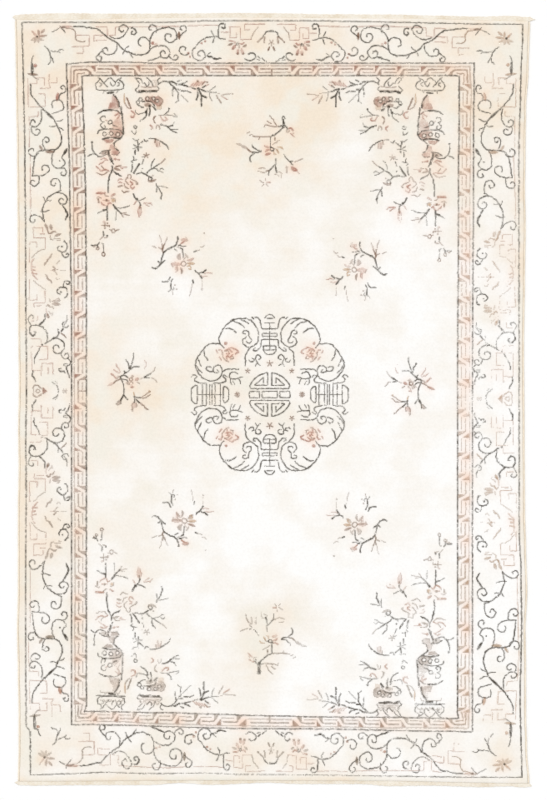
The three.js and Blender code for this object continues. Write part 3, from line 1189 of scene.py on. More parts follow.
@dataclass(frozen=True)
class VineBorder:
    """Wide border: a scrolling vine with buds, on a faint open fret, between the guard line and the band."""

    def draw(self, pen: Pen) -> None:
        """Draws the guard line, the corner, the short side and the long side."""
        self._guard(pen)
        self._corner(pen)
        self._short_fret(pen)
        self._short_start(pen)
        self._short_middle(pen)
        self._short_centre(pen)
        self._long_fret(pen)
        self._long_start(pen)
        self._long_second(pen)
        self._long_flower(pen)
        self._long_third(pen)
        self._long_centre(pen)

    def _guard(self, pen: Pen) -> None:
        """Draws the thin dark line near the rug's edge."""
        places = np.linspace(22.5, 271.6, 16)
        pen.line(*zip(places, read_table(GUIDES.top[1], places)), strength=0.72)
        places = np.linspace(22.6, 391, 20)
        pen.line(*zip(read_table(GUIDES.left[1], places), places), width=1.8, strength=0.84)

    def _fret(self, pen: Pen, strength: float, *lines: Sequence[Point]) -> None:
        """Draws straight faint lines of the open fret."""
        for points in lines:
            pen.thin.rose.line(*points, strength=strength)

    def _corner(self, pen: Pen) -> None:
        """Draws the blossom, the twig and the bud in the corner."""
        pen.rose.leaf((32, 31), (37.5, 37.5), 1.9, strength=0.7)
        for start, end in (((38.5, 30), (39.2, 36)), ((41, 33.4), (44.6, 29.8)), ((38.5, 36.8), (47, 35.6))):
            pen.rose.leaf(start, end, 1.8, strength=0.35)
            pen.brown.leaf(start, end, 2.7, strength=0.42)
        for end in ((30.8, 40.8), (44, 41), (39, 43), (34.2, 43)):
            pen.brown.leaf((37.3, 37.4), end, 2.6, strength=0.4)
        pen.dot(37.2, 36.8, 1.5, strength=0.9)
        pen.vine((44.3, 46), (48.5, 50.5), (51, 56.5), (53.8, 62.5))
        pen.thin.vine((50.7, 57), (50.6, 61.5), (48, 65.2), strength=0.9)
        pen.thin.vine((50, 50.6), (54, 51.7), (58.5, 51.6), (60.2, 53), strength=0.85)
        pen.thin.vine((58.3, 51.6), (60.5, 49.7), (64, 50.2), strength=0.9)
        pen.thin.vine((33.8, 55.5), (32.2, 60), (32, 65))
        pen.leaf((32.2, 62.5), (32.4, 75.5), 3.0, strength=0.85)
        pen.rose.dot(35.6, 65.8, 2.6)
        pen.brown.leaf((27.8, 74), (38, 75), 2.6, strength=0.65)
        pen.thin.vine((33, 76), (36, 78.3), (38.5, 79.2), strength=0.6)

    def _short_fret(self, pen: Pen) -> None:
        """Draws the open fret behind the vine of the short side."""
        self._fret(
            pen,
            0.62,
            ((96, 27.1), (107.5, 27.1), (107.5, 35.6)),
            ((115.5, 35), (115.5, 27), (180, 26.6)),
            ((188, 26), (218, 25.3)),
            ((94, 41), (94, 35.6), (104.3, 35.6)),
            ((96.3, 40.8), (106.6, 40.5)),
            ((75.9, 35.3), (89.3, 35.3), (89.3, 46.2), (72.3, 47)),
            ((77.5, 53.4), (83.3, 53.4), (83.3, 46.8)),
            ((229.4, 27.2), (240.5, 27.2), (240.5, 39.6), (251.2, 39.6)),
            ((230, 27.2), (230, 38), (236.4, 37.8), (236.4, 32.7)),
            ((265, 24.3), (244.4, 24.3), (244.5, 30), (250.2, 30)),
            ((221.3, 32.4), (228.2, 32.4)),
            ((109.8, 35.9), (115.3, 34.8)),
        )
        pen.thin.brown.vine((251.2, 39.6), (253.2, 33.6), (258.2, 27), strength=0.6)

    def _short_start(self, pen: Pen) -> None:
        """Draws the vine from its first bud to its deepest bend."""
        pen.thin.vine((52.5, 32.3), (56, 30), (59.5, 28.2))
        pen.thin.vine((60, 26), (62.2, 29), (65.5, 33.2))
        pen.rose.leaf((59.5, 27.5), (72.5, 26.9), 2.8, strength=0.6)
        pen.leaf((60.5, 27.2), (66.5, 27.6), 2.0, strength=0.6)
        pen.thin.brown.vine((66, 28.4), (73, 29.6), (75.8, 33.5), (75.9, 39.5), (79, 41.7), (85, 41.5))
        pen.vine(
            (73.5, 26.9), (84, 27.2), (92, 28.5), (98, 29.2), (104, 34.5), (110, 39.3), (117, 43),
            (121.5, 48.4),
            (127.5, 51.8), (135, 54.8), (143, 54.9), (148.8, 52), (150, 46), (150, 40), (153.4, 33.4),
            (159, 29.6),
            (165.5, 28), width=1.7, taper=0.1,
        )
        pen.curl((165.5, 28), (169.4, 36.9), 1.35)
        pen.vine((109.8, 36.2), (115, 38.7), (121, 38), (126, 33.5), (128.6, 28.4))
        pen.curl((128.6, 28.6), (122.7, 30.2), -0.95, inner=1.2)
        pen.curl((131.3, 28.3), (132.8, 32.5), 1.0, inner=1.0, width=1.9)
        pen.vine((117, 43.4), (116.6, 49.8), (112.6, 54.2), (107, 54.8))
        pen.curl((107, 54.8), (106.2, 50.5), 0.8, inner=1.7)
        pen.vine((103.5, 51), (99, 54), (96, 57.2), width=1.9)
        pen.curl((96.2, 57), (99.8, 58), -0.8, inner=1.5, width=1.7)
        pen.vine((122.7, 54.5), (124.7, 50.3), (128.7, 46.5))
        pen.vine((129, 52.5), (131, 55), (133, 57.6))
        pen.curl((149.6, 41.6), (142.3, 43.6), -0.64, inner=3.0)
        pen.rose.dot(152.6, 43.4, 2.0)
        pen.rose.dot(156, 44.8, 1.8, strength=0.5)
        pen.curl((156.3, 32.6), (151.6, 28.9), -0.85, inner=1.2)
        pen.brown.leaf((179, 32), (179.3, 39.5), 2.8)

    def _short_middle(self, pen: Pen) -> None:
        """Draws the scrolls between the deepest bend and the second vine."""
        pen.vine((149.7, 49.9), (155, 46.9), (161, 46), (165.8, 46.8), (169.6, 50.6))
        pen.curl((169.6, 50.4), (163.9, 53.6), 1.1, inner=1.3)
        pen.vine((160.5, 57.2), (154, 59.4), (148.6, 60.9), width=2.1)
        pen.vine((168.6, 56), (170.4, 58), (172.6, 59.7))
        pen.curl((172.4, 59.6), (175.3, 57.2), -0.85, inner=1.4)
        pen.vine((178.5, 37), (183, 33.8), (186, 30.8))
        pen.curl((186, 31), (182.3, 28.8), -0.8, inner=1.4)
        pen.dot(180.6, 29.2, 0.8)
        pen.curl((189, 53.3), (183.7, 49.6), 0.95, inner=1.6)
        pen.rose.dot(188.3, 53.4, 1.7)
        pen.rose.dot(190, 57, 1.4)
        pen.vine(
            (192.6, 50), (195.5, 47.8), (199, 43), (203, 39.8), (208.5, 37.2), (215.6, 36.7), (220.2, 38.3),
            (225.3, 39.3)
        )
        pen.rose.dot(201.5, 43.5, 1.2)
        pen.rose.dot(205, 41.5, 1.2)
        pen.vine((211.3, 31), (212.8, 33.5), (213.9, 36.4))
        pen.vine((214.4, 38), (213.8, 40.5), (212.6, 43.2))
        pen.vine((192.6, 50), (192.2, 52.5), (192.4, 55))
        pen.curl((192.4, 54.8), (200.2, 54.4), -1.25, inner=1.4)
        pen.vine((205.6, 55.4), (211, 56.8), (215.6, 59.4), (221.5, 58.6), width=2.5, taper=0.6)
        pen.thin.vine((207.5, 55), (210.5, 52.8))
        pen.vine((218.6, 36.7), (218.3, 31), (218.8, 26.6), width=1.6)
        pen.curl((218.8, 26.6), (223, 27), 0.9, inner=1.3, width=1.8)

    def _short_centre(self, pen: Pen) -> None:
        """Draws the fan blossom, the scroll and the arch at the middle of the short side."""
        rose, brown = pen.rose, pen.brown
        pen.vine((236, 45.4), (237.2, 42.6), (239, 44), (237.6, 45.4), strength=0.85)
        brown.line((239.2, 45), (239.2, 47.6), strength=0.6)
        rose.line((229.4, 41), (232.6, 41.4), width=2.4)
        rose.line((240, 43.8), (242, 44.6), (244, 43), width=2, strength=0.9)
        rose.leaf((235.8, 45), (232.2, 49.8), 3, strength=0.6)
        rose.leaf((234, 41), (235.4, 44), 1.8, strength=0.45)
        for start, tip in (((232.8, 43.8), (228.2, 45.2)), ((243, 47.2), (246.6, 45))):
            brown.leaf(start, tip, 2.2, strength=0.65)
        for start, tip in (((238.2, 49.6), (237.6, 54.8)), ((241.2, 48.6), (243.2, 54.8))):
            rose.leaf(start, tip, 3, strength=0.5)
            brown.dot(tip[0], tip[1] - 1, 1.6, strength=0.7)
        brown.dot(232.9, 48.6, 1.2, strength=0.45)
        pen.vine(
            (244.8, 59), (247.8, 60.6), (252, 60.4), (255.6, 57), (255, 54), (252, 52.8), (249, 53.8),
            width=1.6,
        )
        pen.dot(248.8, 54.2, 1.2)
        pen.line((258, 56.6), (260, 58.4), width=1.8)
        pen.line((262, 58.4), (264, 60.4), (266.4, 61.6))
        pen.thin.line((257, 59.6), (259.8, 60.3), strength=0.8)
        brown.line((257.6, 42.2), (260.4, 39.4), (263, 37.6), width=1.9, strength=0.7)
        pen.vine((263.2, 37), (265, 33.6), (267, 31.6), (269.8, 31.3))
        pen.line((269.6, 31.4), (271.6, 31.2), width=2.1)
        brown.line((264.8, 37), (264.2, 42.8), width=1.8, strength=0.7)
        brown.line((269.6, 47.2), (268.2, 50.2), width=1.9)
        brown.thin.vine((269.6, 40), (271.4, 43.4), (271.6, 46.6), strength=0.7)
        brown.thin.line((268.6, 44.2), (270.6, 43), strength=0.5)

    def _long_fret(self, pen: Pen) -> None:
        """Draws the open fret behind the vine of the long side."""
        self._fret(
            pen,
            0.55,
            ((36, 78.3), (44.4, 78), (44.4, 85)),
            ((49.3, 74), (49, 84), (50.7, 88.2), (40.5, 88.5)),
            ((51, 82.8), (57, 82.8), (57.3, 77.5)),
            ((30, 84), (37.2, 84), (37.3, 79)),
            ((28.2, 79), (28.4, 107.4), (45.2, 106.6), (45.2, 94), (39, 94)),
            ((29, 117), (38.3, 116.3), (38.4, 111.8)),
            ((29.3, 117), (29.4, 147)),
            ((30.5, 155), (30.8, 216)),
            ((45.4, 248.3), (45.4, 238), (33.6, 238), (33.4, 227.6), (43, 227.6), (43, 231.9)),
            ((40.2, 234), (44.8, 234)),
            ((29.6, 262), (30, 241.9), (36.7, 242.3), (36.7, 247)),
            ((29.7, 279.8), (29.2, 300.1), (37.2, 299.9), (37, 294.7)),
            ((45.1, 291.2), (45.2, 302.8), (33.6, 303), (34.4, 307.3)),
            ((37.3, 305.9), (43.6, 305.9)),
            ((37.9, 316), (37.9, 320.8), (31.6, 320.8)),
            ((31, 338.9), (41, 338.9), (41.6, 344.6)),
            ((32, 370), (31.4, 346.7), (47.6, 346), (47.9, 359.3), (40, 359.5)),
            ((41.5, 375.5), (41.7, 363.4), (53, 363.5), (53.3, 374)),
            ((48.3, 368), (48.3, 373.5)),
            ((33, 370.5), (41, 370.5)),
        )

    def _long_start(self, pen: Pen) -> None:
        """Draws the long side's vine from the corner to its first spiral."""
        pen.vine(
            (30.5, 84.5), (31.3, 93), (34.4, 98.8), (38.5, 104.5), (44, 110), (50, 115.5), (55, 121),
            (58.2, 128),
            (61.4, 136), (60.8, 144), (57, 149), (50, 150.2), (43, 150.6), (38, 152.2), (34.9, 158),
            (33.6, 166),
            (32.6, 176), width=1.7, taper=0.1,
        )
        pen.dot(43.3, 109.4, 1.7)
        pen.leaf((45, 111), (54, 119.5), 2.4)
        pen.vine((32.6, 176), (39, 175.9), (45, 174.6), (48.6, 171.8))
        pen.curl((48.6, 171.8), (45, 168.6), -0.72, inner=3.0)
        pen.vine(
            (54.5, 150.3), (52, 157.5), (52.6, 165), (57, 168.4), (62.8, 167), (65.4, 162.6), (62.2, 158.8),
            (63, 155), (66, 151.5),
        )
        pen.leaf((63.6, 155), (67.6, 148.2), 2.8)
        pen.dot(59.6, 161, 0.9)
        pen.curl((60.6, 168.2), (62.8, 173.2), 0.95, inner=1.3)
        pen.brown.leaf((45.5, 151.8), (54.5, 152.2), 3.2, strength=0.8)
        pen.brown.leaf((39.6, 145.6), (42.8, 150.4), 2.4, strength=0.7)
        pen.vine((59.3, 100.5), (59.8, 94.8), (64.6, 93), (65.8, 89.6))
        pen.curl((65.8, 89.6), (62.5, 88), -0.8, inner=1.1)
        pen.rose.leaf((58.2, 93), (57, 101), 3.2)
        pen.vine(
            (52.6, 108.2), (51.9, 103), (55, 100.2), (60.5, 100.8), (63.5, 105), (62.9, 110), (57.5, 112),
            (52.3, 113.8),
        )
        pen.vine((40.8, 109), (41.7, 115), (41.2, 121.6), (37.5, 126))
        pen.curl((37.5, 126.2), (33.8, 122.4), 0.88, inner=1.4)
        pen.curl((32.4, 127), (37, 131), -1.0, inner=1.5)
        pen.vine((45.9, 150), (43.4, 146), (42.7, 141.5))
        pen.curl((42.7, 141.5), (46.6, 140.6), 0.98, inner=1.4)
        pen.curl((38.4, 153.4), (32.6, 151.2), 0.95, inner=1.3)
        pen.thin.vines(
            ((56.5, 121.5), (60, 121), (63.2, 119.2)), ((57, 125), (53.5, 126.8), (49.8, 126.4)),
            ((59, 127.6), (61.4, 128.6), (63.6, 130.6)),
        )

    def _long_second(self, pen: Pen) -> None:
        """Draws the second stretch of the long side's vine."""
        pen.vine((39, 176), (39.5, 178.4), (39.2, 181))
        pen.curl((39.2, 181), (33.6, 182), 0.95, inner=1.3)
        pen.vine((60.8, 190.4), (60.5, 184.4))
        pen.curl((60.5, 184.4), (54.4, 183.4), -1.05, inner=1.4)
        pen.vines(
            ((61, 190.5), (55, 193.3), (48.6, 197.5), (45, 203), (42.9, 209), (43, 214.5), (44.7, 222)),
            ((55.5, 192.8), (61, 193), (65.5, 195.4), (67.6, 199.2)),
            width=1.6,
        )
        pen.curl((67.6, 199.2), (62.1, 200.4), 0.98, inner=1.5)
        pen.vine((62.5, 205), (65.8, 210.6), (67.9, 215), (65.4, 219.8), width=2.3)
        pen.vine((44.7, 222), (41, 217.7), (37.5, 215.6))
        pen.curl((37.5, 215.6), (33.7, 220.1), -0.92, inner=1.3)
        pen.vine((43.5, 197.4), (46, 202))
        pen.thin.vine((46.5, 201), (51.6, 200.2))
        pen.thin.vine((41, 211.5), (45.5, 211.6), (50, 210.2))

    def _long_flower(self, pen: Pen) -> None:
        """Draws the faded blossoms, the half fan and the S scroll half way along."""
        rose, brown = pen.rose, pen.brown
        brown.leaf((45, 223.6), (48, 229.6), 2.6, strength=0.55)
        brown.vine((47, 228.6), (48, 232), (49.4, 233.8), width=1.9, strength=0.9)
        brown.leaf((50.4, 224.4), (51.8, 229.8), 3.2, strength=0.55)
        brown.vine((49.4, 233.7), (51.8, 232.4), (54.2, 231.2), (56, 232.6), width=2, strength=0.65)
        brown.leaf((54.8, 236), (61, 234), 2.6, strength=0.6)
        brown.vine((50.2, 235.2), (50.6, 238.8), (53, 239.8), width=1.9, strength=0.45)
        brown.line((54.2, 238.4), (60, 238.8), strength=0.5)
        brown.line((56.8, 240.6), (60, 240.4), strength=0.4)
        pen.line((64.4, 241.3), (66.8, 243.8), width=2)
        pen.vine(
            (66.8, 243.8), (67.4, 248), (65.6, 251), (62.4, 252), (59.4, 250.8), (58, 248.4), (59, 246.2),
            width=1.6,
        )
        pen.dot(61.8, 246.6, 1.1)
        pen.vine(
            (61.6, 252), (62.6, 255), (65, 257.4), (67.6, 257), (68.8, 254.8), (67.4, 253.4), (66.2, 254.6),
            width=1.6,
        )
        brown.vine((51.8, 254.2), (48.8, 258.8), (45.8, 262.4), (44.6, 265), width=2.2, strength=0.55)
        brown.thin.vine((45, 249.3), (40, 250.6), (36, 253.4), (31, 258.8), strength=0.55)
        rose.vine(
            (34.6, 258.2), (32.2, 261.4), (31.6, 266), (31.9, 270), (33.2, 274.8), (37.4, 279.4), width=1.9,
            strength=0.6,
        )
        for y, reach in ((267, 35.4), (270.4, 34.8), (274, 37)):
            rose.line((32, y - 0.8), (reach, y), width=2, strength=0.6)
        brown.dot(54, 270.2, 1.4, strength=0.7)
        brown.line((53.4, 266.8), (55.4, 269), width=1.9, strength=0.6)
        brown.thin.vines(((56, 270), (57.8, 269.6)), ((54.6, 271), (57, 274.4)), strength=0.7)
        rose.thin.line((50, 270), (53, 270.2), strength=0.5)
        brown.thin.line((60.2, 270.3), (66, 270.2), strength=0.3)
        brown.line((59.6, 260.8), (56.8, 263.4), width=1.9, strength=0.32)
        brown.vine((45.8, 274.6), (47.6, 278.6), (50, 280), (51.6, 282.4), width=2.2, strength=0.55)
        brown.thin.vines(
            ((56.2, 277.6), (58, 279.6), (60, 277.8)), ((33.4, 280.4), (38, 284.6), (45.4, 289.6)),
            strength=0.42,
        )

    def _long_third(self, pen: Pen) -> None:
        """Draws the third stretch of the long side's vine."""
        rose, brown = pen.rose, pen.brown
        pen.line((63.8, 287.4), (63.4, 284), (64.8, 281.4), strength=0.8)
        pen.vine((66.4, 280.8), (69, 281.4), (69.8, 283.6), (68.2, 284.8), (66.2, 283.4), width=1.7)
        pen.vine(
            (67.8, 292.4), (67, 289.2), (64, 287.4), (60.6, 287.4), (57.4, 289.6), (57.4, 292.6),
            (60, 294.2), width=1.6,
        )
        pen.vine((67.6, 293.8), (67, 296.6), (64.8, 297.8), width=1.9)
        pen.dot(61, 292, 1.3)
        brown.leaf((52, 301.4), (60.4, 300.6), 2.8, strength=0.5)
        brown.vine((56.8, 298.6), (58.6, 298.2), (60, 300.8), width=1.7, strength=0.5)
        brown.leaf((52, 303.8), (60.4, 304.4), 3.6, strength=0.55)
        brown.leaf((49.6, 298.6), (50.6, 302.8), 1.8, strength=0.3)
        brown.vine((46.8, 306), (48.8, 304.2), (50.6, 307.4), width=2, strength=0.8)
        brown.vine((50.8, 306.8), (53, 307.2), (54.4, 310), width=1.9, strength=0.5)
        rose.vine((46.2, 308), (46, 312), (47.8, 316), width=1.9, strength=0.4)
        brown.leaf((47.2, 313.8), (48.8, 318.2), 2.8, strength=0.8)
        brown.vine((48.8, 311), (51, 313.8), (53.2, 312.8), (52.2, 315.8), strength=0.42)
        pen.line((44.8, 313.8), (44.8, 317.4), width=1.9, strength=0.8)
        pen.line((45.4, 318.8), (43, 321.8), (39.4, 325.2), width=2)
        pen.vine(
            (32.8, 318.6), (34, 316.8), (31.6, 315.1), (29.1, 316.8), (28.9, 321), (31.2, 325.6),
            strength=0.85,
        )
        pen.vine(
            (31, 325.6), (35, 325.2), (39.6, 325.6), (44, 328.4), (47.2, 333), (47.6, 337), (47.2, 341.4),
            width=1.6,
        )
        pen.vine(
            (31.2, 326), (29.7, 329), (30, 333.4), (32.6, 335.8), (35.6, 334.2), (35.8, 331.8),
            (34.2, 331.8), width=2.1,
        )
        pen.dot(42.6, 344.8, 1.2)
        pen.vine(
            (45, 343.6), (48, 342), (52.4, 339.2), (57, 338.4), (61.8, 340.4), (64.4, 344), (64.2, 349),
            width=1.7,
        )
        pen.dot(54.2, 338.3, 1.4)
        pen.vine((64.2, 349), (61.3, 353), (62.3, 356.8))
        pen.curl((62.3, 356.6), (66.2, 355.4), -0.92, inner=1.6)
        pen.vine(
            (67.6, 358.2), (70.4, 361.4), (69.6, 365), (67, 366.6), (66.2, 368.4), (68.4, 372.6),
            (69.4, 377.6), width=1.7,
        )
        pen.thin.vine((67.6, 364), (64.6, 363.8), (63.6, 365.4), (65.8, 366), strength=0.7)
        pen.vine((61, 368.4), (58.8, 369.2), (60.4, 371.6), (64, 371), (65.2, 373), width=1.7)
        pen.curl((61, 352.8), (57.2, 347.8), 0.82, inner=1.8)
        pen.line((54.6, 337.8), (57.6, 335.8), (59.6, 332.6))
        pen.line((60.8, 332), (63.2, 328.8), width=1.9)
        pen.line((58.3, 329.2), (58.8, 333))
        brown.vine((61.2, 333.2), (64, 335.2), (66.4, 338), width=1.7)
        pen.vines(
            ((67, 315.6), (67.1, 319.4), (66, 322.6), (64.2, 325.2)),
            ((65.6, 322), (63, 322.4), (62.4, 325), (64, 327.2), (66.6, 327.4), (68.6, 325.4)),
            strength=0.8,
        )
        pen.vine((40.3, 347), (37.4, 353), (34.6, 358.5), (34.5, 363.2))
        pen.vine((33, 370.6), (32.6, 375.6), (34.6, 378.2), (36, 381.8), width=1.7)

    def _long_centre(self, pen: Pen) -> None:
        """Draws the round fruit and the bracket twig at the middle of the long side."""
        brown = pen.brown
        brown.vine(
            (33.2, 388), (34.4, 385.4), (36.4, 384.6), (39.6, 386), (41.6, 388.4), width=1.8, strength=0.65,
        )
        brown.line((33.4, 388.4), (33.8, 391), strength=0.4)
        brown.vine((35.8, 391), (36.6, 389.5), (38.4, 389.2), (40.2, 391), width=1.6, strength=0.55)
        pen.rose.fill((43, 387.2), (45, 389), (48, 391.4), (42.6, 391.2), strength=0.6)
        brown.fill((43, 387.2), (45, 388.8), (46.8, 391.4), (43, 391.2), strength=0.45)
        pen.thin.vine((52.4, 382), (54.6, 383.8), (56.6, 385), (58, 388), (58.9, 391.2), strength=0.9)
        pen.thin.vine((55.2, 381.2), (57.2, 383.4), strength=0.6)
        brown.star(65, 391, 2.4, strength=0.4)


@dataclass(frozen=True)
class VaseGroup:
    """Corner group in the field: a tall vase and a bowl on carved stands, with flowering branches."""

    def draw(self, pen: Pen) -> None:
        """Draws the whole group."""
        self._tall_stand(pen)
        self._vase_neck(pen)
        self._vase_body(pen)
        self._vase_mouth(pen)
        self._stem(pen)
        self._first_blossom(pen)
        self._second_blossom(pen)
        self._hanging_buds(pen)
        self._star_chain(pen)
        self._low_stand(pen)
        self._bowl(pen)
        self._bowl_twigs(pen)
        self._arch(pen)
        self._branch(pen)
        self._bud_twigs(pen)
        self._long_branch(pen)
        self._long_branch_tip(pen)
        self._low_tables(replace(pen, quarters=QUARTERS[2:], width=1.15))

    def _low_tables(self, pen: Pen) -> None:
        """Draws what makes the two stands of the lower groups small tables: boards, lace and legs."""
        brown = pen.brown
        pen.line((94.8, 91.2), (124, 90.8), width=1.5, strength=0.9)
        brown.line((99.4, 94.4), (118.6, 94), strength=0.7)
        for x in (99.4, 118.6):
            brown.line((x, 94.2), (x + (1 if x > 110 else -1), 96.6), strength=0.6)
        for x in range(98, 119, 4):
            brown.vine((x, 87.4), (x + 1.2, 85.4), (x + 2.6, 85.6), (x + 4, 87.4), strength=0.75)
        brown.line((137, 88.6), (159, 88.2), strength=0.8)
        for x in (140, 145, 150, 155):
            brown.vine((x - 2.4, 86.6), (x, 83.4), (x + 2.4, 86.6), strength=0.7)
        brown.fill((138.6, 84.6), (157.4, 84.6), (158.4, 89.4), (137.6, 89.4), strength=0.22)

    def _tall_stand(self, pen: Pen) -> None:
        """Draws the scalloped stand of the tall vase."""
        pen = replace(pen, width=1.15)
        pen.line((98.5, 78), (100.5, 79), (104, 83.5), (107.5, 87), width=1.4)
        pen.vine((99.6, 79.5), (98.4, 82), (96, 83.5), (95.7, 86), (96.4, 88.6), (98.4, 90.2))
        pen.thin.line((98, 90.2), (108, 90.6), (120, 90))
        pen.vine(
            (120, 90), (123, 88.5), (123.8, 85.5), (122.6, 82.6), (119.8, 80.4), (121.2, 77.9), width=1.4,
        )
        pen.vine(
            (104.6, 82.6), (107, 80), (110.4, 77.9), (113.4, 80), (115.6, 82.8), (115, 85.4), (113, 86.6),
        )
        pen.vine((113.4, 86.6), (111, 84.6), (110.4, 82.6))
        pen.thin.vine((115.4, 83), (117, 81), (119.8, 79))
        pen.thin.vine((117.6, 82.6), (119.4, 83.2), (119, 85.8), (117.6, 86.2))
        pen.thin.vine((99.6, 83.2), (101.6, 83.4), (101.8, 85.4), (100, 86.6))
        pen.thin.line((103.3, 93.4), (103.8, 91.4), (106, 91), strength=0.7)
        pen.thin.line((118.2, 91), (116.4, 93), strength=0.7)
        pen.line((107.8, 93.2), (113.6, 92.6), width=2.9)

    def _vase_neck(self, pen: Pen) -> None:
        """Draws the vase's neck, shaded on one side."""
        pen.line((113.8, 95), (116.8, 98.4), (118.8, 102.4), (119.4, 107), width=2.1)
        pen.clay.fill(
            (112, 96), (115.5, 96), (118.5, 101), (119, 108.6), (108, 109.4), (111, 104), (112.2, 100),
            strength=0.5,
        )
        pen.clay.fill((110, 103), (115.4, 102.4), (117, 108.4), (108, 109.2), strength=0.72)
        pen.brown.fill((116, 98.6), (119.2, 104), (119.4, 109), (117, 106), strength=0.4)
        pen.vine((98.2, 114), (101.5, 111.6), (104.6, 110.6))
        pen.line((103.6, 110.8), (108, 110.2), (113, 110.2), width=2.2)
        pen.line((113, 110), (118, 111), (120.4, 114), strength=0.75)

    def _vase_body(self, pen: Pen) -> None:
        """Draws the vase's body with its scrolls and the band of rings."""
        pen.line((121.1, 107.4), (121.6, 113), (122.8, 120), (123.2, 128), (123.6, 134), width=2.1)
        pen.line((123.6, 134), (121.6, 137.4), (118, 140), (113.4, 143.6), width=1.6)
        pen.clay.fill((113, 122.4), (118.6, 117), (121.6, 119), (122.8, 131), (112.6, 129), strength=0.42)
        pen.clay.fill((109.6, 130), (121.4, 130.6), (123.2, 134), (119, 138.6), (111, 138), strength=0.5)
        pen.brown.fill((113.4, 130), (121.4, 130.6), (123.2, 134), (119, 138.6), (115, 138), strength=0.18)
        pen.rose.line((115.2, 115.6), (118.4, 113.6), (119.4, 116.6), (117.6, 118.4), width=1.9)
        pen.rose.line((118, 112.4), (120.4, 113.4), width=1.9)
        pen.thin.vine(
            (105.6, 118.2), (104.8, 116.4), (102, 116.8), (100.4, 119), (101.6, 121.4), (104.2, 122.4),
        )
        pen.vine(
            (102.6, 122.6), (100.8, 124.8), (101.2, 127.4), (103.4, 128.8), (105.8, 127.4), (104.2, 125.2),
        )
        pen.ring(110.2, 122.4, 2.1)
        pen.line((111.8, 123.8), (113.8, 126), (117.4, 126.8))
        pen.rose.line((107.4, 121), (105.8, 120.4), strength=0.6)
        pen.line((97.8, 133.6), (98.6, 130.8), (103.6, 129.4), (111, 129), (120, 130.2), (123.2, 134))
        for x, y in ((104.6, 134.2), (111.4, 133.6), (117.8, 134.6)):
            pen.thin.eye(x, y, 2.1)
        pen.line((103, 139.3), (106.5, 138.2), (112, 137.6), (119.6, 138.8), width=2.4)
        pen.clay.fill((103, 139.8), (114, 139.2), (112.6, 142.4), (107, 143.2), strength=0.8)

    def _vase_mouth(self, pen: Pen) -> None:
        """Draws the leafy mouth of the vase and the hook beside it."""
        pen.clay.fill((110.6, 144.4), (113.8, 144.4), (115.6, 150), (108.8, 150), strength=0.6)
        pen.line((114.3, 143.8), (114.7, 147), (116.2, 149.6), (118.8, 150.8), width=1.7)
        pen.brown.fill((100.2, 153.6), (104.4, 150.6), (110, 150.2), (109.4, 155), (104, 155.4), strength=0.5)
        pen.line((99.8, 153.6), (103, 151.2), (110.4, 150.2))
        pen.clay.fill((111, 150.4), (117.4, 150.4), (120, 152.6), (117.4, 155.2), (112, 155), strength=0.66)
        pen.thin.line((112, 154.8), (117.4, 155.2), (119.8, 152.6), strength=0.6)
        pen.dot(105.6, 153.3, 1.4)
        pen.line((108.6, 150.6), (109.2, 155.6), width=2.3)
        pen.dot(92.5, 142.4, 1.4)
        pen.vine(
            (92.3, 143), (91.8, 147), (92.6, 150), (95, 153.6), (98.4, 156.6), (102, 156.6), (106.4, 154.6),
            width=1.6,
        )
        pen.line((88.2, 156.2), (90.6, 154.6), (94, 154))
        pen.tan.leaf((124.4, 93.8), (124.5, 104), 1.5)
        pen.brown.line((126.8, 98), (128.6, 102.4), (131, 108.6), width=2)
        pen.brown.vine((125, 102.6), (126.6, 106.8), (129.4, 108.8), strength=0.8)
        pen.rose.vine((131.2, 111), (134.4, 113), (134.6, 116), (131.8, 117.8), (131, 116), width=2)
        pen.thin.vine((135.6, 110.4), (136.2, 113.4), (139, 114.2), (144.4, 112.8), strength=0.8)

    def _stem(self, pen: Pen) -> None:
        """Draws the stem that rises from the vase, with its leaves."""
        pen.line((108.6, 154.6), (110.4, 157.6), (111.8, 161.4), width=3)
        pen.line((111.8, 161.4), (113.6, 164.2), width=1.6)
        pen.line((112.3, 166.4), (112.6, 169.4), width=1.8)
        pen.vine(
            (112.6, 169.4), (110.6, 173.4), (109.2, 177), (108.9, 180), (107.9, 184), (108.3, 192.6),
            width=1.8,
        )
        pen.vine((112.8, 170.2), (115.4, 173.2), (118.4, 174.2), (121.4, 176.2), width=2)
        pen.rose.line((114, 159.2), (119.6, 159.9))
        pen.rose.dot(114.7, 159.2, 1.5)
        pen.brown.vine((114.2, 169.4), (116, 166.6), (121, 165.8))
        pen.brown.leaf((114, 168.4), (120.4, 170.4), 2.2, strength=0.7)
        pen.rose.dot(122.2, 168.6, 1.3)
        pen.rose.line((120.6, 167.4), (126.6, 167.2), strength=0.6)
        pen.rose.vine((107.8, 160.2), (104.6, 158.4), (101, 159.6), width=1.9)
        pen.rose.vine((107, 160), (103, 162.2), (99.2, 164.8))
        pen.rose.vine((109, 171), (105.6, 169.6), (101.8, 170.8), (98.4, 168.8), (96.2, 166.6), width=1.7)
        pen.brown.vine((104.4, 169.4), (101.4, 166), width=1.6, strength=0.8)
        pen.brown.vine((108.4, 171.6), (105.2, 174.2), (101, 174.4), (96.8, 173), strength=0.75)

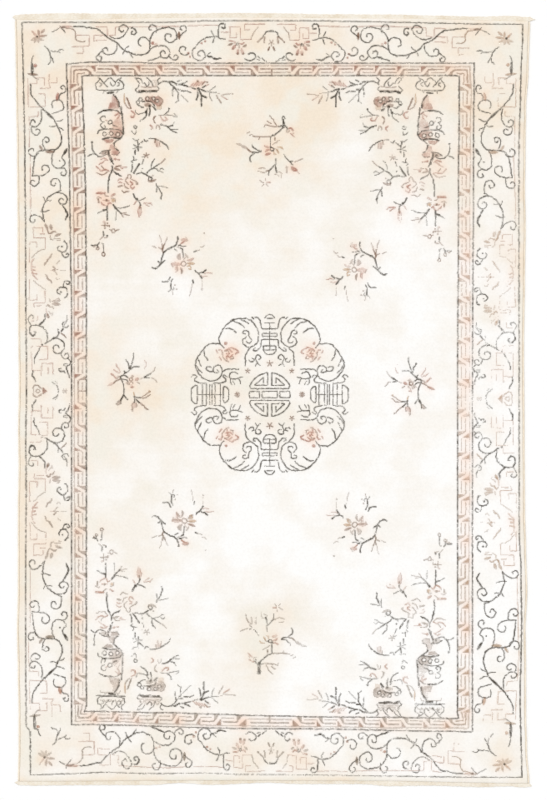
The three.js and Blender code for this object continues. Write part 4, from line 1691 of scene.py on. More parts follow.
    def _first_blossom(self, pen: Pen) -> None:
        """Draws the open blossom at the stem's end and the twigs that leave it."""
        rose, brown = pen.rose, pen.brown
        rose.line((97.2, 193.3), (104.8, 193.1), width=3)
        brown.vine((104.4, 193.4), (106, 195.6), (108.2, 196.4), strength=0.8)
        rose.line((111.6, 196), (114.4, 194.2), width=2.8, strength=0.8)
        brown.vine((96.8, 198.8), (99, 197), (101.2, 198.2), strength=0.7)
        brown.line((98.4, 199.2), (98.8, 202.6), width=2.4, strength=0.8)
        brown.dot(106.4, 200.4, 1.6, strength=0.9)
        rose.line((103.4, 200.6), (109, 200.8), strength=0.8)
        rose.vine((101.2, 202.4), (103.4, 204.8), (107.2, 206), width=1.6)
        rose.vine((107.6, 205.8), (109.4, 202.6), (111.4, 203.6), width=2.2)
        pen.tan.dot(113.6, 200.6, 2.2)
        brown.vine((111.6, 198.4), (115, 199), (115.4, 202), strength=0.6)
        pen.line((107.2, 206.4), (107.3, 213), (107.2, 220.4), width=1.8)
        pen.line((107, 209.4), (103.4, 210.4), width=2.3)
        pen.line((103.4, 210.4), (98, 213.3), strength=0.7)
        pen.line((113.4, 205), (116, 208.4), (118.2, 211), width=2.7)
        pen.thin.vine((117, 208), (121, 208.3), (126, 207.2), (129.6, 205.8), strength=0.85)
        pen.line((118.4, 210.8), (121.4, 213.8), width=1.6)
        for tip in ((126.2, 212.6), (129.4, 215.4), (123.4, 217.2)):
            brown.thin.line((121.2, 213.6), tip, strength=0.7)
        pen.line((116.2, 211.8), (115.9, 220), strength=0.45)

    def _second_blossom(self, pen: Pen) -> None:
        """Draws the loose, looped blossom beside the stem."""
        rose, brown = pen.rose, pen.brown
        brown.vine((128, 178.4), (127.8, 175.8), (130, 174.6), (131.6, 176.8), (130.4, 178.6), strength=0.75)
        brown.vine((127.6, 177.4), (125.4, 180), (126.4, 182.4), (128.8, 184.8), strength=0.8)
        brown.vine((131.4, 179.2), (134.6, 180.8), (138, 183.2), strength=0.8)
        brown.dot(137.2, 184, 1.3, strength=0.7)
        rose.vine((118, 181), (120, 179.2), (122.4, 179.6), strength=0.75)
        rose.vine((118.2, 183.4), (120.4, 182), (122.2, 183), strength=0.75)
        brown.line((118.6, 186.6), (122, 185.8), width=2.2, strength=0.7)
        rose.vine((130.4, 181.8), (133.2, 183.6), (131.2, 185.2), width=2.1)
        brown.vine((124.2, 183.6), (125.2, 187), (128.6, 188.8), width=1.6, strength=0.7)
        rose.vine((130.4, 186), (131.6, 189), (134.4, 187.2), width=2, strength=0.9)
        brown.vine((122, 190.6), (124.8, 193.2), (126.8, 191.8), (129.2, 191.6), strength=0.9)

    def _hanging_buds(self, pen: Pen) -> None:
        """Draws the tiny blossoms that hang below the first blossom."""
        brown = pen.brown
        brown.star(105, 225.6, 3.2, arms=4)
        brown.dot(105, 225.6, 1.2)
        brown.vine((107.4, 226.4), (109.6, 225.6), (109.8, 227.4))
        brown.dot(107.6, 223.4, 1, strength=0.8)
        pen.rose.dot(104, 222, 1.7, strength=0.4)
        brown.ring(113.3, 230.8, 1.9)
        brown.line((109.6, 229.6), (111.6, 230.4), strength=0.7)
        brown.line((116, 230.6), (119, 229.6), width=1.6, strength=0.7)
        pen.line((103.4, 231.8), (103.8, 235.6), width=1.8, strength=0.8)
        brown.line((103.4, 236.6), (100.2, 239.4), strength=0.6)
        pen.dot(107.4, 235.8, 1.3)
        brown.line((108, 237), (104.6, 238), strength=0.8)
        pen.line((91.6, 245.4), (95, 245.2), (97.6, 245.4), (99.4, 242.6), width=1.6)
        pen.line((97.8, 245.6), (97.6, 247.4), width=1.6)
        brown.ring(97.7, 248.5, 1.6)
        brown.vine((92.4, 245.6), (94.2, 247.2), (95.6, 245.6))
        pen.line((102, 243.4), (103.5, 243.6), (103.6, 252.6), strength=0.7)
        brown.ring(103.6, 254.2, 1.6)

    def _star_chain(self, pen: Pen) -> None:
        """Draws the hanging chain of tiny stars."""
        pen.ring(135.4, 127, 1.6)
        pen.thin.vine((131.8, 131.2), (134.2, 134.2), (136.2, 132.8))
        pen.thin.line((135.6, 134), (136.1, 130.8), strength=0.6)
        pen.thin.vine((132.6, 138.4), (134.8, 140.4), (138.8, 139.6), strength=0.7)
        pen.line((137.2, 140.6), (138, 144.2), (138.3, 150.6), width=1.9)
        pen.thin.line((133.8, 145), (138, 147.4), (141.6, 147.4), strength=0.8)
        pen.thin.line((133, 149), (137.6, 147.6), strength=0.7)
        pen.line((138.4, 145), (141, 143), (142.8, 141.4))
        pen.vine((144.2, 139.2), (145.2, 141.4), (147.8, 140.8))
        pen.line((135.3, 150.4), (135.3, 154.4), width=1.7)
        pen.thin.vine((133.4, 156.6), (134, 159.6), (131.8, 161.6), (133, 163))
        pen.thin.line((133.6, 160.6), (136.6, 159.8))
        pen.line((132.2, 165), (132.5, 168.6), (131.3, 172.2), width=1.8)
        pen.brown.star(146.3, 155.5, 2.8)
        pen.thin.line((142, 157.4), (145, 156.4), strength=0.5)
        pen.thin.line((143.5, 159.8), (142.2, 164))
        pen.dot(142.4, 168.7, 0.9)
        pen.dot(141.4, 171.6, 0.7, strength=0.6)

    def _low_stand(self, pen: Pen) -> None:
        """Draws the stand of the bowl."""
        pen = replace(pen, width=1.15)
        pen.vine((135, 78.2), (138.4, 78.2), (141, 79.6), (142.6, 82.8))
        pen.thin.vine((136, 78.6), (137.2, 81), (139.6, 83.6))
        pen.vine((139, 85), (138.4, 87.6), (135.2, 89.6), (137.6, 92.8))
        pen.line((138, 92.6), (142.4, 91.2), (147.6, 92), (152, 91.2), (156.6, 91.4), width=2.9)
        pen.brown.line((139, 90.6), (157, 90.4), width=1.5, strength=0.6)
        pen.dot(151.8, 91.3, 1.7)
        pen.vine((156.6, 91.2), (159.4, 89.4), (157.4, 86.8))
        pen.vine((160, 78.2), (158, 79.4), (157.6, 81.6), (158.8, 83.2), (158.2, 85), width=1.4)
        pen.line((147, 78), (150, 80.6), (152.4, 83.4), (153, 86), width=1.3)
        pen.vine((144.6, 83), (147, 86.2), (149.4, 84.8), (149, 82.2))
        pen.thin.line((142.4, 83.2), (145, 83.6), strength=0.7)
        pen.brown.line((141.6, 86.8), (146, 87.6), (152, 87.2), (156.4, 86.4), width=1.6, strength=0.6)
        pen.brown.fill((152.6, 80), (157, 80), (157, 86.4), (153.4, 86), strength=0.16)

    def _bowl(self, pen: Pen) -> None:
        """Draws the bowl of fruit and blossoms."""
        brown = pen.brown
        pen.clay.fill(
            (145, 97.4), (152, 96.4), (158, 96.6), (162, 99), (162, 103.6), (158, 107), (154, 103.8),
            (145, 101.6),
            strength=0.62,
        )
        brown.fill((150, 97), (157, 97.6), (158.6, 103), (154.6, 104.6), (150, 101), strength=0.32)
        brown.fill((144.4, 104), (148, 103), (152, 105), (150.8, 107.6), (145, 106.6), strength=0.55)
        brown.fill((158, 97.4), (162.2, 99), (162, 103.4), (159, 106.6), strength=0.3)
        pen.tan.fill((156, 105.6), (162, 104.6), (161.4, 109.6), (156.6, 109.6), strength=0.4)
        for x, y in ((138, 102.4), (140.6, 99.8), (147.4, 98.5), (153.6, 98.6), (157.2, 101.2)):
            pen.thin.eye(x, y, 1.8)
        pen.vine((142, 101.4), (147, 101.2), (150.8, 101.8), (153.6, 104), (155, 107), width=1.9)
        pen.line((153, 107), (155.6, 109.8), width=2.5)
        pen.dot(149.3, 106.3, 1.7)
        pen.vine((137, 104.6), (139.6, 105.6), (141.4, 107.6), (144, 107.4), width=1.6)
        brown.vine((158, 96.4), (162, 98.6), (162.2, 103), (159.4, 106.4))

    def _bowl_twigs(self, pen: Pen) -> None:
        """Draws the twigs and petals that leave the bowl."""
        rose, brown = pen.rose, pen.brown
        pen.line((149.6, 107.8), (150.2, 111), (149.3, 115.4), width=1.8)
        pen.vine((147.4, 108.8), (146.4, 112.4), (146.2, 115.4), (144.4, 118.4), (140.2, 121.2), width=1.6)
        pen.dot(146.3, 112.3, 1.7)
        pen.dot(169.2, 108.8, 1.2)
        pen.vine((169, 109), (168.4, 111.4), (164.4, 114.6))
        pen.thin.vine((158.8, 115.3), (166, 115), (172, 116), (177.2, 117.2), strength=0.75)
        pen.thin.line((174.2, 113.4), (176.8, 116), strength=0.5)
        rose.vine((160.4, 116.4), (162.2, 119.4), (165, 120.6), (167.2, 119), (165.2, 117.4), width=1.7)
        brown.vine((155.6, 116.2), (153.4, 118.8), (153.6, 121), (155, 123), width=1.9)
        rose.vine((150.4, 125.4), (152.8, 127.6), (151, 129.8), width=2)
        brown.vine((156.4, 128.8), (156.8, 125.4), (159.2, 126), (159.8, 129.4), strength=0.7)
        pen.dot(161.4, 124.7, 1.2)
        pen.line((161.4, 124.7), (166.4, 126.2), (169.4, 128.8), (173.2, 131.6), width=1.9)
        pen.line((168.8, 126.8), (172.6, 125.6), width=1.7)
        pen.thin.line((172.8, 125), (174.2, 122.4), strength=0.5)
        pen.thin.line((171.4, 129.6), (178, 129.4), strength=0.8)
        pen.thin.line((173, 131.4), (176.6, 132.8))

    def _arch(self, pen: Pen) -> None:
        """Draws the arched twig with its bell-shaped blossom."""
        pen.vine(
            (149.3, 138.6), (154, 138.8), (159, 140.4), (163.8, 143.2), (167, 146), (168.6, 149.2),
            width=1.6,
        )
        pen.rose.fill(
            (155.2, 140.2), (158.8, 140.6), (160.6, 143.8), (159.6, 147.6), (155.8, 147), strength=0.28,
        )
        pen.brown.vines(((157.2, 141.6), (157, 146.8)), ((159.2, 142.4), (160, 146.4)), strength=0.6)
        pen.brown.line((155.3, 139.2), (155, 142.6), width=1.7)

    def _branch(self, pen: Pen) -> None:
        """Draws the forked branch beside the star chain."""
        pen.line((139.3, 164.2), (137, 168.2), (134.2, 172.6), width=2.1)
        pen.vine(
            (133.4, 173.2), (137, 173.9), (141, 173), (145, 174), (148.4, 176.4), (151.4, 178.2), width=1.7,
        )
        pen.line((147, 173.2), (149.6, 170.2), (153, 168.4), (159.4, 164), width=1.6)
        pen.brown.line((160.6, 163.6), (162.4, 162.2), (164.8, 159.2), strength=0.7)
        pen.vine((151.6, 168), (151.3, 164.6), (152.6, 161.6), (154.8, 159))
        pen.thin.vine((153.6, 168.8), (157.4, 169.8), (160.6, 172), (163, 172.6), strength=0.8)
        pen.thin.vine((159.2, 170.4), (161.6, 168.4), (163.8, 169.8), strength=0.8)
        pen.brown.fill(
            (147.4, 179.4), (151, 180.4), (156.6, 179), (154.8, 181.4), (151.4, 182.6), (148.2, 182),
            strength=0.65,
        )
        pen.vine((148.6, 180.6), (148.6, 177.8), (150.6, 176.6), (152.4, 178.6), (151.4, 180.4))
        pen.brown.dot(153, 175.6, 1.2, strength=0.45)

    def _bud_twigs(self, pen: Pen) -> None:
        """Draws the two lowest twigs, one with a pair of buds."""
        pen.line((156.3, 184.2), (157.2, 187), (156.5, 192.2))
        pen.thin.vine((157.6, 186), (162, 186.4), (167.4, 187.9), strength=0.75)
        pen.vine((158, 187), (160.4, 191.4), (161.7, 195), (161.2, 199), width=2)
        pen.line((133.5, 194.2), (135.2, 198), (136.8, 199.8), width=2)
        pen.dot(136.7, 199.4, 1.7)
        pen.line((137, 200), (139.6, 202), (140.6, 205.4), width=1.6)
        pen.thin.line((139, 200.4), (142, 199.8), (145.4, 197.8))
        pen.rose.line((136.2, 201.4), (134, 204.6), strength=0.7)
        pen.brown.line((140.4, 205), (140, 208.6), width=1.8)
        pen.rose.leaf((140.1, 206.6), (139.6, 216.6), 3.8, strength=0.4)
        pen.rose.vines(
            ((139.2, 206.6), (138, 211.4), (139.2, 217.2)), ((141, 207), (141.6, 211), (140.4, 215.4)),
            strength=0.8,
        )
        pen.rose.line((144.4, 203.2), (150.6, 203.4), width=1.9, strength=0.8)
        pen.rose.line((145, 203.8), (149, 206.4), width=1.5, strength=0.7)
        pen.rose.line((150, 203), (152.4, 205.4), strength=0.6)

    def _long_branch(self, pen: Pen) -> None:
        """Draws the flowering branch that reaches towards the middle of the short side."""
        pen.vine((158.4, 84.8), (161.4, 82.2), (165, 81.3), (168.6, 82.2), width=1.6)
        pen.line((168.6, 82), (172.6, 82), (176.6, 84.4), width=2.3)
        pen.vine((168.4, 82.4), (171.4, 84.6), (173.6, 87), (177, 90.8), (178.4, 94.6), width=1.9)
        pen.line((178.4, 94.4), (177.8, 98), (178.6, 100.8))
        pen.thin.line((178, 100.6), (175.4, 102.8), strength=0.7)
        pen.line((173.6, 87.4), (172.8, 90.6), width=2)
        pen.thin.line((172.4, 92.6), (172.7, 96.2))
        pen.line((177.2, 89.4), (179.8, 89.6), width=2.3)
        pen.line((177.6, 81.6), (180.8, 80.2), width=1.7)
        pen.line((179, 84.6), (182.2, 84.8), width=2)
        pen.line((182.2, 83.8), (185, 83.4), (187, 81.6), width=1.6)
        pen.line((182.4, 85), (187.6, 86.6), width=2)
        pen.line((187.6, 86.6), (191.6, 87.6), strength=0.6)
        pen.line((191.8, 88.2), (195.2, 89.2), width=1.7)
        pen.line((181.4, 91.2), (186, 91.2), width=1.6)
        pen.line((186.8, 90.8), (190.8, 92.8))
        pen.thin.line((180.4, 94.6), (184.6, 98.8), (188.4, 102.6), strength=0.6)
        pen.dot(198.3, 89.2, 1.9)
        pen.line((199.2, 91), (201.6, 95.8), width=2.3)
        pen.line((201.4, 96), (201.2, 100), (201.5, 106.2), width=1.9)
        pen.line((202, 95.8), (206, 97.6), width=2.2)
        pen.line((197.9, 92), (197.9, 96.6), (196.4, 99.8), width=1.8)

    def _long_branch_tip(self, pen: Pen) -> None:
        """Draws the faded end of the long branch and the petals over it."""
        rose, brown = pen.rose, pen.brown
        pen.line((200.6, 89.4), (203.2, 90.6), (205.8, 91.6), width=2.1)
        pen.thin.line((206, 91.4), (209, 91.6), (210.4, 92.6), (216.2, 92.6), strength=0.6)
        pen.line((202.6, 87.8), (205.4, 86), width=2)
        rose.line((205.4, 86), (208.8, 84.4), strength=0.7)
        pen.thin.line((209.6, 91), (212.6, 88.4), (215.6, 86.4), strength=0.6)
        pen.thin.line((209.2, 92.6), (209.8, 97), (211.8, 100.6), strength=0.6)
        brown.line((217.8, 93.6), (219.6, 93.4), strength=0.5)
        brown.line((221, 95.2), (226, 94.4), (232.6, 94), strength=0.5)
        brown.dot(232.4, 93.9, 1.1, strength=0.5)
        brown.line((216.6, 95.6), (217.8, 98.4), width=1.6, strength=0.6)
        brown.line((219, 99.6), (221, 103), width=1.6, strength=0.7)
        rose.line((221.6, 96.4), (227.4, 99.8), strength=0.75)
        brown.dot(197.6, 81.6, 1.6, strength=0.75)
        brown.line((202.4, 84.4), (204, 82.2), (207.4, 82.4), width=2, strength=0.6)
        for x in (190.4, 193.2, 196, 198.8, 201.6):
            rose.line(
                (x, 86.8 - 0.16 * (x - 190)), (x + 3.2, 83.6 - 0.16 * (x - 190)), width=1.7, strength=0.75,
            )
        rose.leaf((191.6, 86), (203, 83.8), 2.2, strength=0.3)


@dataclass(frozen=True)
class Sprays:
    """Loose flowering sprays in the open field."""

    def draw(self, chart: Chart) -> None:
        """Draws every spray, each mirrored to its own places."""
        tall = Pen(chart, (Place(), Place(True, True, (1.5, 7))))
        self._tall(tall)
        self._tall_ends(tall)
        side = Pen(chart, QUARTERS)
        self._side(side)
        self._side_flower(side)
        low = Pen(chart, QUARTERS[2:], dye=Dye.BROWN)
        for start, end in (
            ((171.4, 264.8), (181, 264.2)), ((175.2, 272.4), (179.6, 267)), ((177.6, 254.4), (181.4, 260.6)),
            ((187, 266.6), (192.2, 270)), ((187, 260.8), (193.6, 258.2)),
        ):
            low.leaf(start, end, 2.2, strength=0.45)
        middle = Pen(chart, (Place(), Place(mirror_across=True, move=(1, 4))))
        self._middle(middle)
        self._middle_twigs(middle)

    def _tall(self, pen: Pen) -> None:
        """Draws the knob, the first twigs and the flower of the spray at the middle of each short side."""
        rose, brown, tan = pen.rose, pen.brown, pen.tan
        pen.vine((282.2, 120), (281.9, 118), (283, 116.6), (284.8, 117), (285, 119))
        pen.line((283.4, 119.6), (283.7, 125.6), width=2.7)
        replace(pen, quarters=pen.quarters[1:]).line((283.4, 118), (283.6, 126), width=4.2)
        pen.dot(283.4, 127, 2)
        pen.line((282, 125.8), (279.2, 126.6), width=1.7)
        brown.thin.vines(
            ((279, 126.8), (274, 126.8), (268.4, 125.8), (265, 125.2), (264.2, 126.8)),
            ((276.8, 126.2), (274.4, 121.8), (272.4, 118.6), (269.4, 115.8)),
            ((271.4, 124), (269.4, 122.6), (267, 121.2)),
        )
        pen.vine((284.8, 125.4), (287, 127.8), (286.8, 130.2), width=1.7)
        rose.vine((288.6, 128.6), (291, 128.6), (293, 130.6), width=2)
        brown.thin.vine(
            (286.8, 130.4), (286.4, 132), (287.6, 133.2), (289, 131.2), (288.6, 128.8), strength=0.55,
        )
        rose.thin.line((290.6, 133.6), (294.2, 136.8), width=1.5, strength=0.8)
        rose.dot(293, 133.6, 1.6, strength=0.3)
        pen.line((283, 128), (279, 131.6), (275, 134.8), width=1.7)
        pen.vine((275, 136), (272.8, 135.4), (271, 136.6), width=1.8)
        pen.thin.line((270.6, 137), (270.6, 146))
        brown.thin.line((269.6, 136.8), (258, 137), (253, 136.2), width=1.5, strength=0.8)
        brown.vines(
            ((252, 134.4), (249.8, 134.4), (249.6, 135.4)), ((249.8, 132), (247.8, 132.2), (247.2, 133.2)),
            strength=0.7,
        )
        brown.thin.line((260, 137), (258.6, 139.6), strength=0.7)
        brown.line((274.9, 138.4), (274.9, 140.6), width=1.9, strength=0.8)
        pen.dot(270.6, 147.4, 1.4)
        pen.vine((271, 148), (273.8, 148), (273.4, 150.6), (271.2, 150.8), (270.2, 148.8))
        brown.thin.vines(
            ((273.4, 148.6), (276.4, 149.2), (278.4, 152)), ((273, 144.6), (276.4, 142.4), (279.8, 140.4)),
            strength=0.6,
        )
        rose.vines(
            ((264.6, 146), (267.8, 147.4), (269.6, 147.2)), ((265.6, 151.6), (267.4, 150), (269.4, 149.6)),
            width=2.4,
        )
        tan.vine((277.6, 147.4), (281, 147.4), (282.8, 149.2), width=1.7)
        tan.line((277, 150), (278.6, 153), width=2)
        rose.leaf((265.4, 154.8), (270.4, 153.4), 2.8, strength=0.7)
        tan.vine((273.8, 151.4), (274.2, 154), (276, 154.4), width=1.6, strength=0.8)

    def _tall_ends(self, pen: Pen) -> None:
        """Draws the loose twigs round that flower."""
        rose, brown = pen.rose, pen.brown
        pen.vines(
            ((252, 145), (253.2, 147.4), (257.4, 150.4)),
            ((283.9, 154.6), (285.6, 157.8), (289.8, 161.8), (293, 165)),
        )
        pen.vine((257.6, 150.4), (261.2, 151), (258, 152.6), width=1.7)
        pen.thin.line((257, 152.7), (252, 152.4))
        brown.vine((252.4, 152.6), (249.6, 151.4), (247.2, 148.8), width=1.6)
        brown.leaf((247.6, 148.6), (241, 145.6), 2.8, strength=0.42)
        brown.leaf((242, 145.2), (236, 143.6), 2.6, strength=0.3)
        pen.vine((254.4, 153.6), (250.6, 156.2), (249.8, 159), (251, 162), width=1.6, strength=0.9)
        pen.line((289.8, 161.6), (292.8, 161.2), width=1.5)
        brown.thin.line((295, 161.8), (298.6, 160.6), (302.4, 158.8), strength=0.65)
        brown.dot(287, 167.4, 1.8, strength=0.42)
        brown.line((286.7, 168.4), (286.6, 172.6), strength=0.5)
        only_top, only_low = replace(rose, quarters=rose.quarters[:1]), replace(
            brown, quarters=brown.quarters[1:],
        )
        only_top.leaf((291.2, 166.6), (297.4, 170.6), 3.8, bend=0.12)
        only_top.thin.line((296.4, 170.8), (299.2, 173.6), strength=0.6)
        only_low.vines(
            ((291, 166), (295, 169.6), (296.8, 176)), ((291, 166.4), (290.6, 170), (291.6, 174)),
            strength=0.7,
        )
        pen.line((275.6, 159), (275.9, 164.4), strength=0.7)
        pen.line((275, 164.6), (271.2, 169), (269.2, 170.8), width=1.6)
        pen.dot(271.2, 169, 1.2)
        brown.line((269.2, 171), (266.8, 171), width=1.6, strength=0.9)
        brown.thin.vines(
            ((266.8, 171.2), (264.4, 172.8), (257.6, 171)), ((265, 168.4), (262, 168), (258.6, 168.6)),
            strength=0.6,
        )
        pen.line((269.4, 171), (268.4, 173.4), (268.8, 176))
        pen.line((275.2, 165), (276, 170), width=1.6)
        pen.line((276, 170), (276.8, 172.6), width=2.1)
        brown.thin.vines(
            ((276.2, 173), (275.2, 174.6), (279, 176)), ((278, 171.8), (281.4, 173.6), (281, 177.8)),
            strength=0.55,
        )
        brown.thin.vines(
            ((265.6, 178.6), (265, 181)), ((260, 180.6), (263.6, 183)), ((262, 186.4), (264, 184.4)),
            ((267.6, 186), (266, 184)), strength=0.75,
        )
        rose.line((266.4, 182.4), (269.6, 182.4), width=1.8, strength=0.8)

    def _side(self, pen: Pen) -> None:
        """Draws the twigs of the spray between the medallion and each corner group."""
        rose, brown = pen.rose, pen.brown
        pen.vine((152.2, 267.6), (153.8, 268.4), (155.8, 268.8), (158.4, 266.8), (160.6, 264.4), width=1.9)
        pen.line((160, 264.8), (162.4, 262.4), (164.8, 260.6), width=1.7)
        pen.line((158.4, 261.6), (160.6, 263.8), width=1.9, strength=0.8)
        pen.line((161, 262), (162.2, 257), (163.4, 253), width=1.7, strength=0.9)
        pen.vine((163.4, 253), (166, 250.4), (169.4, 248.6), (173, 247), (176.2, 244.8), width=2.1)
        pen.line((176.4, 244.6), (177, 241.8), (178.2, 240.2), (177.8, 236.8), width=1.8)
        brown.line((163.4, 252.6), (162, 250.2), (163, 247.6), width=2.2)
        brown.line((163, 247.4), (164.8, 243.6), width=1.9, strength=0.8)
        brown.line((162.8, 247.6), (162, 244), width=1.7, strength=0.7)
        brown.thin.vines(
            ((164.8, 243.4), (166.4, 239.4), (167, 237.2)), ((161.2, 242.4), (160.6, 238), (159.2, 235)),
            ((156.8, 248.2), (154.6, 246.8), (152.2, 246.2)), strength=0.5,
        )
        brown.line((158.8, 247.8), (161.4, 248.9), width=1.8, strength=0.6)
        pen.line((178.8, 245.6), (180.4, 245.2), width=1.8)
        pen.thin.line((180.8, 245.8), (183, 246.6), (185.6, 246.2), strength=0.75)
        rose.line((181, 243.6), (184.2, 241.2), width=1.9)
        rose.leaf((181.2, 239.6), (187.6, 240.6), 3.6, strength=0.5)
        brown.thin.vine((185.6, 237.4), (187.6, 240.4), strength=0.4)
        pen.line((180.4, 248), (182.6, 249.4), width=1.9)
        pen.line((182.6, 249.4), (183, 253), (183.4, 257.8), width=1.8, strength=0.6)
        pen.thin.line((177, 246.8), (180.4, 248), strength=0.5)
        pen.line((174.4, 249.2), (177.2, 250.8), strength=0.8)
        pen.vine((195.2, 270.4), (196.4, 272.4), (198.6, 273.6), (201, 272.4), (203.6, 272.6), width=1.7)
        pen.line((203.4, 272.4), (206.2, 269.8), width=2)
        pen.line((199, 274), (202, 278.4), width=2)
        rose.thin.vines(
            ((204.6, 273.4), (208, 272.6), (212.4, 273.4)), ((201.2, 275.4), (204, 276.6), (207.4, 276)),
            strength=0.75,
        )
        pen.line((192.8, 280.4), (193.4, 283), width=1.6)
        brown.thin.line((192, 284.2), (191.4, 289), (190.6, 293), (189.6, 295.6), strength=0.45)
        brown.thin.line((202, 280), (202, 290), strength=0.28)
        brown.dot(202, 289, 1.1, strength=0.4)
        pen.line((194.2, 251.8), (196.2, 250.9), width=1.8, strength=0.9)
        brown.thin.vines(
            ((196.2, 250.9), (198.4, 251), (200.6, 249.6)),
            ((200.4, 246.8), (202.4, 247.2), (204.8, 245.2)), strength=0.5,
        )
        brown.dot(204.6, 233.2, 1, strength=0.5)
        pen.vine((170.2, 277.2), (169.4, 279.6), (167, 281.8), (162.4, 281.7), width=1.8, strength=0.9)
        pen.line((172.6, 279), (170.8, 281.6), (170.8, 285), (171.2, 288.4), width=1.6)
        pen.thin.vine((171.2, 288), (170.4, 289.8), (168.4, 291.6), strength=0.7)
        pen.thin.vine((171, 289.4), (173, 289.8), (174.4, 288), (173.4, 286.8), strength=0.7)
        brown.dot(174.8, 285, 1.2, strength=0.5)
        brown.dot(176.6, 289.2, 1, strength=0.4)
        brown.thin.line((172.2, 291), (173, 294.4), strength=0.45)

    def _side_flower(self, pen: Pen) -> None:
        """Draws the pale flower of that spray."""
        rose, brown, tan = pen.rose, pen.brown, pen.tan
        brown.ring(183.7, 263.8, 2.5, strength=0.8)
        brown.fill((176.4, 257.4), (177.4, 254.8), (180.2, 253), (181, 259.6), (178.6, 259.8), strength=0.42)
        rose.fill(
            (170.6, 263.4), (175.6, 261.8), (181, 263.2), (181, 265), (176.4, 266), (172.4, 266.6),
            strength=0.42,
        )
        rose.leaf((175.6, 272.6), (175, 266.4), 2.8, bend=0.2, strength=0.45)
        brown.line((171.4, 263.8), (172.8, 267), strength=0.4)
        brown.line((177, 266), (177.4, 270.6), strength=0.4)
        brown.leaf((180.4, 267.6), (181.4, 274), 2.2, bend=-0.15, strength=0.6)
        brown.leaf((188.2, 258.2), (185, 253.4), 2, strength=0.32)
        brown.thin.vine((183.6, 259.8), (186.4, 256.4), (187.6, 256.8), strength=0.4)
        rose.leaf((187.2, 260.4), (194, 258.2), 2.6, bend=0.1, strength=0.42)
        tan.leaf((187.4, 263.4), (194.8, 263.8), 3, strength=0.7)
        brown.thin.line((186.6, 263.4), (191, 263.4), strength=0.4)
        tan.vine(
            (187.6, 266.2), (189.4, 265.8), (191, 267.6), (190.4, 269.4), (188.6, 268.8), width=1.7,
            strength=0.9,
        )

    def _middle(self, pen: Pen) -> None:
        """Draws the stem and the flower of the spray at the middle of each long side."""
        rose, brown, tan = pen.rose, pen.brown, pen.tan
        pen.line((123.6, 395), (121, 400), width=2.3)
        brown.fill((119.4, 400), (121.6, 400), (121, 404), (118, 405.4), (115.8, 404), strength=0.5)
        pen.thin.line((121, 400), (120.8, 404), strength=0.9)
        pen.thin.line((119.4, 400.4), (116, 404), strength=0.5)
        pen.line((123.6, 395), (124.2, 388.4), (123.6, 384), (122.2, 380.6), (121, 378.8), width=1.7)
        pen.line((124.4, 395.6), (127.2, 399.4))
        pen.dot(127.3, 399.4, 1)
        pen.vine((121.4, 380), (120.4, 376.8), (122, 375.4), (124.8, 375.4), (128.2, 377.6), width=1.9)
        pen.vine((121.2, 378.8), (124, 378.6), (126.4, 380), (128, 381.4), width=1.7)
        brown.vine((130.2, 377.8), (132.6, 378.6), (132.2, 380.8), (129.4, 380.6), (129.4, 378.6))
        brown.fill((130.4, 376.2), (132.6, 374.6), (134.8, 376.6), (132.4, 377.8), strength=0.42)
        rose.leaf((135.2, 380.4), (138.6, 378.4), 3, strength=0.6)
        brown.thin.line((137.4, 382.2), (139.8, 383.6), strength=0.7)
        brown.thin.vine((130.4, 382), (133.8, 381.4), (132.8, 384), strength=0.6)
        brown.leaf((126, 383), (130, 385.2), 2.6, bend=-0.2, strength=0.45)
        rose.line((131.4, 384.4), (131.8, 387), strength=0.6)
        rose.line((131.2, 387.2), (133, 387), width=2.4)
        rose.vines(
            ((116.4, 364), (117, 366.4), (119.4, 369.4), (121, 372.6)),
            ((113.4, 369.2), (115.4, 370.8), (119.8, 373)), strength=0.6,
        )
        brown.vine((120, 376.6), (117.6, 377.2), (117.4, 378.8), width=1.6, strength=0.9)
        rose.line((111.4, 374), (114.4, 376.8), (116.4, 378.6), width=2, strength=0.8)
        brown.line((119.8, 379.2), (116, 381), (113.8, 383), width=1.7, strength=0.8)
        rose.leaf((114.6, 382.6), (107.8, 385.6), 2.4, strength=0.9)
        tan.vine((133.7, 392.4), (134, 394.2), (134.8, 396), width=1.6)
        pen.dot(134.6, 396.8, 1.2)

    def _middle_twigs(self, pen: Pen) -> None:
        """Draws the twigs of that spray."""
        rose, brown, tan = pen.rose, pen.brown, pen.tan
        pen.vine((123.8, 374.6), (125.4, 373.4), (128.4, 371.2), width=1.8)
        pen.line((124.4, 371.2), (125.2, 372.6), width=1.6)
        pen.thin.line((128.4, 371.4), (130.8, 369))
        pen.line((129.4, 368.6), (128.6, 364), width=1.8)
        pen.line((128.4, 363.2), (125.9, 359.6), width=1.8, strength=0.9)
        pen.line((130, 368.4), (132, 363.4), (133, 359.6), (133.8, 357), width=1.6)
        pen.line((133.8, 357.4), (133.6, 353.4), strength=0.75)
        pen.line((130.6, 369), (133.4, 366.8), (139.8, 366.7), width=1.6)
        pen.line((144.8, 377.2), (147.4, 375.4), (150.4, 373.8), width=2)
        pen.line((145.4, 377.4), (149.4, 377.8))
        brown.thin.vines(
            ((140.6, 379), (143, 377.6), (145, 377.2)), ((150.4, 373.8), (153.4, 370.8), (155.6, 367)),
            ((151.6, 378), (154.6, 379.4), (157, 382.4)), strength=0.6,
        )
        rose.vine((144.6, 360.4), (146.2, 362.6), (146, 366), (144.2, 369.2), strength=0.5)
        pen.line((134.8, 397.4), (140, 397.7), width=1.7)
        brown.thin.vines(
            ((140, 397.7), (146, 398), (148, 396), (150.6, 394.4)),
            ((141.6, 397), (144.4, 395.4), (147, 393.4), (150.2, 391.4)),
            strength=0.85,
        )
        tan.dot(149.6, 391.4, 1.2)
        pen.line((134.9, 398), (134.5, 402.2), width=1.6)
